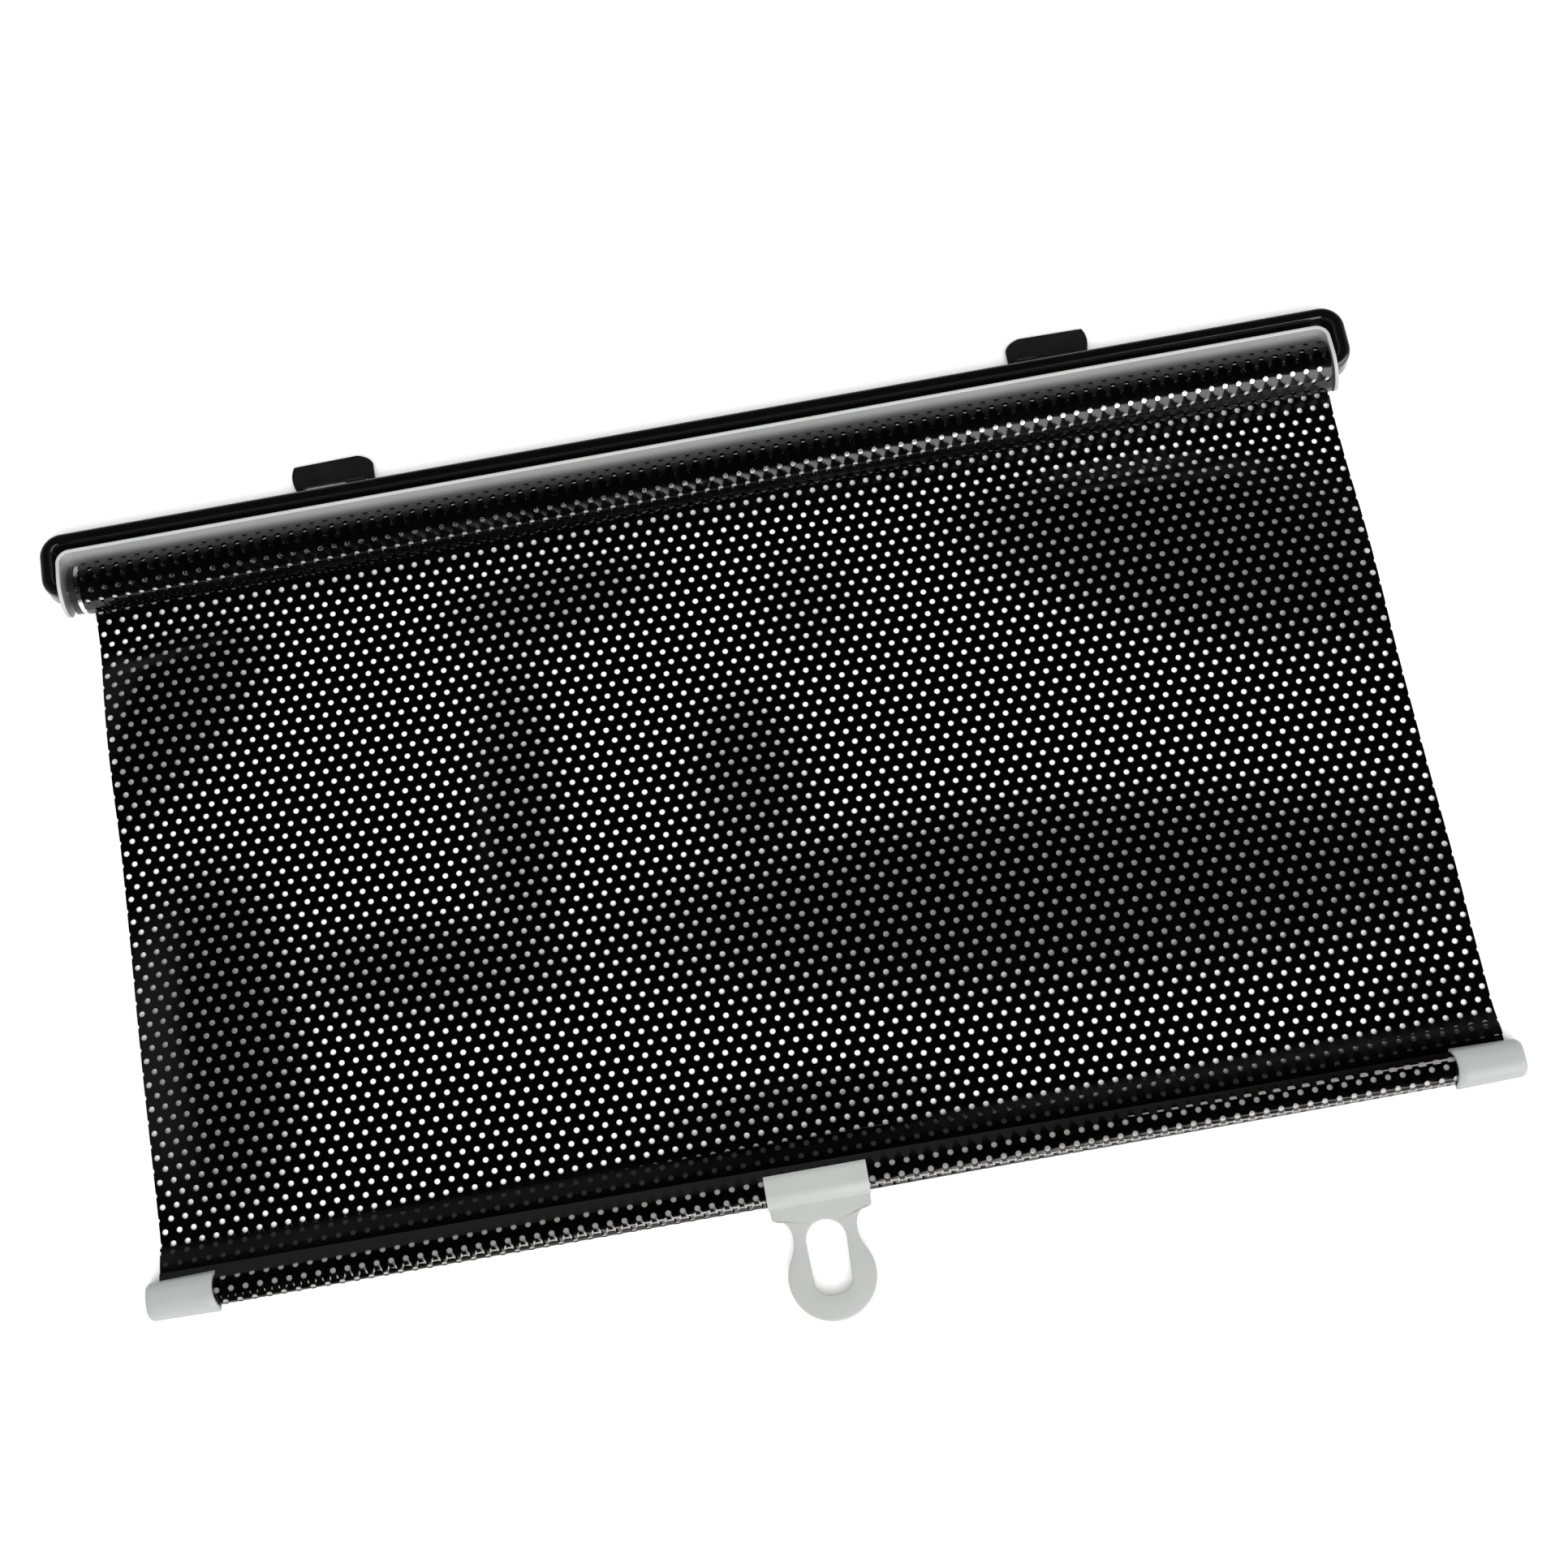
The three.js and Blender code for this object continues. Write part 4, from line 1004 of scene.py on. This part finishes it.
def pull_tab(name, material):
    """The ring plate is one closed band round the eye: at each place its section runs from the eye to
    the outer edge on top, and back below, with rounded edges. The clip is an open channel of one
    section along the bar. The two are united."""
    low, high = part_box("pull_tab")
    half_clip = (high.x - low.x) / 2
    x0 = (low.x + high.x) / 2
    front = low.y + RING_RADIUS + RING_FROM_CLIP
    clip_reach = BAR_Y - front
    clip_height = SLAT_HALF_HEIGHT + TAB_SIDE
    even = np.linspace(0, 1, 111)
    outer = whole_ring(resampled(tab_outline(front), even))
    inner = whole_ring(resampled(eye_outline(front), np.interp(even, OUTER_SHARES, INNER_SHARES)))
    count = len(outer)
    thick, edge = 2.4 * MM, 0.45 * MM
    quarter = np.linspace(0, np.pi / 2, 4)
    span = outer - inner
    width = np.linalg.norm(span, axis=1)[:, None]
    unit = span / width
    section = []
    for c, s in zip(np.cos(quarter), np.sin(quarter)):
        section.append((edge * (1 - c), thick / 2 - edge * (1 - s), 0))
    for c, s in zip(np.sin(quarter), np.cos(quarter)):
        section.append((edge * (1 - c), thick / 2 - edge * (1 - s), 1))
    section += [(inset, -z, end) for inset, z, end in section[::-1]]
    rings = []
    for inset, z, end in section:
        base = outer - unit * inset if end else inner + unit * inset
        rings.append(np.column_stack([x0 + base[:, 0], base[:, 1], np.full(count, BAR_Z + z)]))
    rings = np.stack(rings, axis=1)
    plate = closed_up(new_piece(name, *skin(rings, round_along=True)))
    channel = clip_channel(x0, half_clip, clip_reach, clip_height)
    joined = join_pieces(plate, channel)
    return shaded(joined, material, 40.0)


def whole_ring(half):
    """A closed outline from its right half."""
    return np.vstack([half, (half * (-1, 1))[::-1][1:-1]])


def clip_channel(x0, half, reach, height):
    """The clip's wall round the bar, open at the back: an arc of the flat oval outside and in, drawn
    in a little at both ends for soft edges."""
    wall, open_at, soft = 0.95 * MM, 4.4 * MM, 0.25 * MM
    rings = []
    for x, inset in ((-half, soft / 2), (-half + soft, 0), (half - soft, 0), (half, soft / 2)):
        outside = arc_of_oval(reach - inset, height - inset, open_at - inset)
        inside = arc_of_oval(reach - wall + inset, height - wall + inset, open_at - inset)[::-1]
        rings.append(with_x(x0 + x, np.vstack([outside, inside]) + (BAR_Y, BAR_Z)))
    return closed_up(new_piece("clip_channel", *skin(np.stack(rings))))


def arc_of_oval(half_width, half_height, open_at):
    """The flat oval from its upper back lip, over the front, to its lower back lip."""
    straight = half_width - half_height
    front = arc((-straight, 0), half_height, 90, 270, 40)
    tail = np.linspace(open_at, -straight, 12)[:-1]
    top = np.column_stack([tail, np.full(len(tail), half_height)])
    curl = np.maximum(top[:, 0] - straight, 0.0)
    top[:, 1] = np.sqrt(np.maximum(half_height ** 2 - curl ** 2, 0.0))
    return np.vstack([top, front, top[::-1] * (1, -1)])


class SUNSHADE_OT_bracket(Operator):
    """The folded channel that carries the roller"""
    bl_idname = "sunshade.bracket"
    bl_label = "Bracket"

    def execute(self, context):
        carrier = context.scene.sunshade_carrier
        piece = bracket("bracket_sheet", carrier, bracket_finish(carrier.bracket_colour))
        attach(piece, "holder")
        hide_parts("bracket")
        return {"FINISHED"}


def bracket(name, carrier, material):
    """A strip of sheet carried along its plan: up one end plate, round a bend, along the wall and down
    the other. At each place the section is a thin upright with rounded edges, from the floor or the
    plate's lower arc to the wall's top or the plate's upper arc."""
    low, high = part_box("bracket")
    half, thick, corner = high.x, carrier.sheet, carrier.bracket_corner
    wall_top = AXIS_Z + ROLL_RADIUS - 1.0 * MM
    radius = AXIS_Y - low.y
    line = corner - thick / 2
    bend = arc((half - corner, -corner), line, 0, 90, 14)
    sweep = np.radians(np.linspace(90, 0, 30))
    plate_y = AXIS_Y - radius * np.sin(sweep)
    plate = np.column_stack([np.full(30, half - thick / 2), plate_y])
    rise = np.column_stack([np.full(8, half - thick / 2), np.linspace(AXIS_Y, -corner, 9)[1:]])
    right = np.vstack([plate, rise[:-1], bend])
    wall = np.column_stack([np.linspace(half - corner, corner - half, 60)[1:-1], np.full(58, -thick / 2)])
    plan = np.vstack([right, wall, (right * (-1, 1))[::-1]])
    along = np.gradient(plan, axis=0)
    along /= np.maximum(np.linalg.norm(along, axis=1), 1e-9)[:, None]
    out = np.column_stack([along[:, 1], -along[:, 0]])
    y = plan[:, 1]
    drop = np.sqrt(np.maximum(radius ** 2 - (y - AXIS_Y) ** 2, 0.0))
    slope = smooth((y - AXIS_Y) / (-thick - AXIS_Y))
    top = np.where(y < AXIS_Y, AXIS_Z + drop, AXIS_Z + radius + (wall_top - AXIS_Z - radius) * slope)
    foot = np.where(y < AXIS_Y, AXIS_Z - drop, FLOOR_TOP)
    bottom = np.where(y > AXIS_Y + 1 * MM, FLOOR_TOP, np.maximum(foot, FLOOR_TOP + 0.05 * MM))
    soft = 0.3 * MM
    section = [(-1, 0, 0), (-1, 1, -1), (-0.6, 1, -0.3), (0.0, 1, 0), (0.6, 1, -0.3), (1, 1, -1), (1, 0, 0)]
    rings = []
    for aside, upper, lowered in section:
        z = np.where(upper, top + lowered * soft, bottom)
        z = np.maximum(z, bottom)
        place = plan + out * aside * thick / 2
        rings.append(np.column_stack([place, z]))
    rings = np.stack(rings, axis=1)
    return skinned(name, rings, material, sharp=50.0)


class SUNSHADE_OT_rail(Operator):
    """The black tray with its rounded rim"""
    bl_idname = "sunshade.rail"
    bl_label = "Rail"

    def execute(self, context):
        carrier = context.scene.sunshade_carrier
        piece = rail("rail_tray", carrier, rail_finish(carrier.rail_colour))
        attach(piece, "holder")
        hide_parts("rail")
        return {"FINISHED"}


def rail(name, carrier, material):
    """Rings of a rounded rectangle, each drawn in by an inset and set at a height: up the outer wall,
    round the rim's two shoulders and down to the floor. In front, between the bracket's ends, the rim
    is cut down to the floor."""
    low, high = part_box("rail")
    half_x, half_y, height = high.x, (high.y - low.y) / 2, high.z
    rim, floor, soft, shoulder = carrier.rim, FLOOR_TOP, 0.5 * MM, carrier.shoulder
    outer = arc((shoulder, height - shoulder), shoulder, 180, 90, 9)
    inner = arc((rim - shoulder, height - shoulder), shoulder, 90, 0, 9)
    foot = arc((rim + soft, floor + soft), soft, 180, 270, 5)
    profile = np.vstack([[(soft, 0.0), (soft * 0.3, soft * 0.3), (0.0, soft)], outer, inner, foot])
    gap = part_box("bracket")[1].x + 0.6 * MM
    cuts = [-gap - 0.02 * MM, -gap, gap, gap + 0.02 * MM]
    rings = []
    for inset, z in profile:
        plan = rounded_plan(half_x - inset, half_y - inset, carrier.corner - inset, cuts)
        in_front = (plan[:, 1] < -half_y + carrier.corner) & (np.abs(plan[:, 0]) < gap + 0.01 * MM)
        heights = np.where(in_front, np.minimum(z, floor), z)
        rings.append(np.column_stack([plan, heights]))
    return skinned(name, np.stack(rings), material, sharp=40.0)


class SUNSHADE_OT_fittings(Operator):
    """Finishes of the pieces that keep their own shape"""
    bl_idname = "sunshade.fittings"
    bl_label = "Fittings"

    def execute(self, context):
        carrier = context.scene.sunshade_carrier
        black = clip_finish(carrier.clip_colour)
        plug = plastic("plug_black", (0.012, 0.012, 0.013), 0.4, 1200.0, 0.01 * MM)
        steel = metal("spring_steel", (0.3, 0.31, 0.32), 0.3)
        bright = bright_finish()
        finishes = {
            "clip_left": black,
            "clip_right": black,
            "idle_plug": plug,
            "spring_plug": plug,
            "anchor_plug": plug,
            "idle_pin": steel,
            "spring_arbor": steel,
            "torsion_spring": steel,
        }
        finishes.update({name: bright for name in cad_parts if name.startswith("bracket_rivet")})
        for name, material in finishes.items():
            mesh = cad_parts[name].data
            mesh.materials.clear()
            mesh.materials.append(material)
        return {"FINISHED"}


class SUNSHADE_PT_panel(Panel):
    """The sunshade's pieces"""
    bl_idname = "SUNSHADE_PT_panel"
    bl_label = "Sunshade"
    bl_space_type = "VIEW_3D"
    bl_region_type = "UI"
    bl_category = "Sunshade"

    def draw(self, context):
        for operator in OPERATORS:
            self.layout.operator(operator.bl_idname)


SETTINGS = {
    "sunshade_stage": StageSettings,
    "sunshade_screen": ScreenSettings,
    "sunshade_bar": BarSettings,
    "sunshade_carrier": CarrierSettings,
}
OPERATORS = (
    SUNSHADE_OT_stage,
    SUNSHADE_OT_screen,
    SUNSHADE_OT_roll,
    SUNSHADE_OT_bar,
    SUNSHADE_OT_caps,
    SUNSHADE_OT_pull_tab,
    SUNSHADE_OT_bracket,
    SUNSHADE_OT_rail,
    SUNSHADE_OT_fittings,
)


def register():
    for cls in (*SETTINGS.values(), *OPERATORS, SUNSHADE_PT_panel):
        bpy.utils.register_class(cls)
    for name, group in SETTINGS.items():
        setattr(bpy.types.Scene, name, PointerProperty(type=group))


def unregister():
    for name in SETTINGS:
        delattr(bpy.types.Scene, name)
    for cls in reversed((*SETTINGS.values(), *OPERATORS, SUNSHADE_PT_panel)):
        bpy.utils.unregister_class(cls)


def main():
    register()
    bpy.ops.sunshade.stage()
    bpy.ops.sunshade.screen()
    bpy.ops.sunshade.roll()
    bpy.ops.sunshade.bar()
    bpy.ops.sunshade.caps()
    bpy.ops.sunshade.pull_tab()
    bpy.ops.sunshade.bracket()
    bpy.ops.sunshade.rail()
    bpy.ops.sunshade.fittings()


if __name__ == "__main__":
    main()
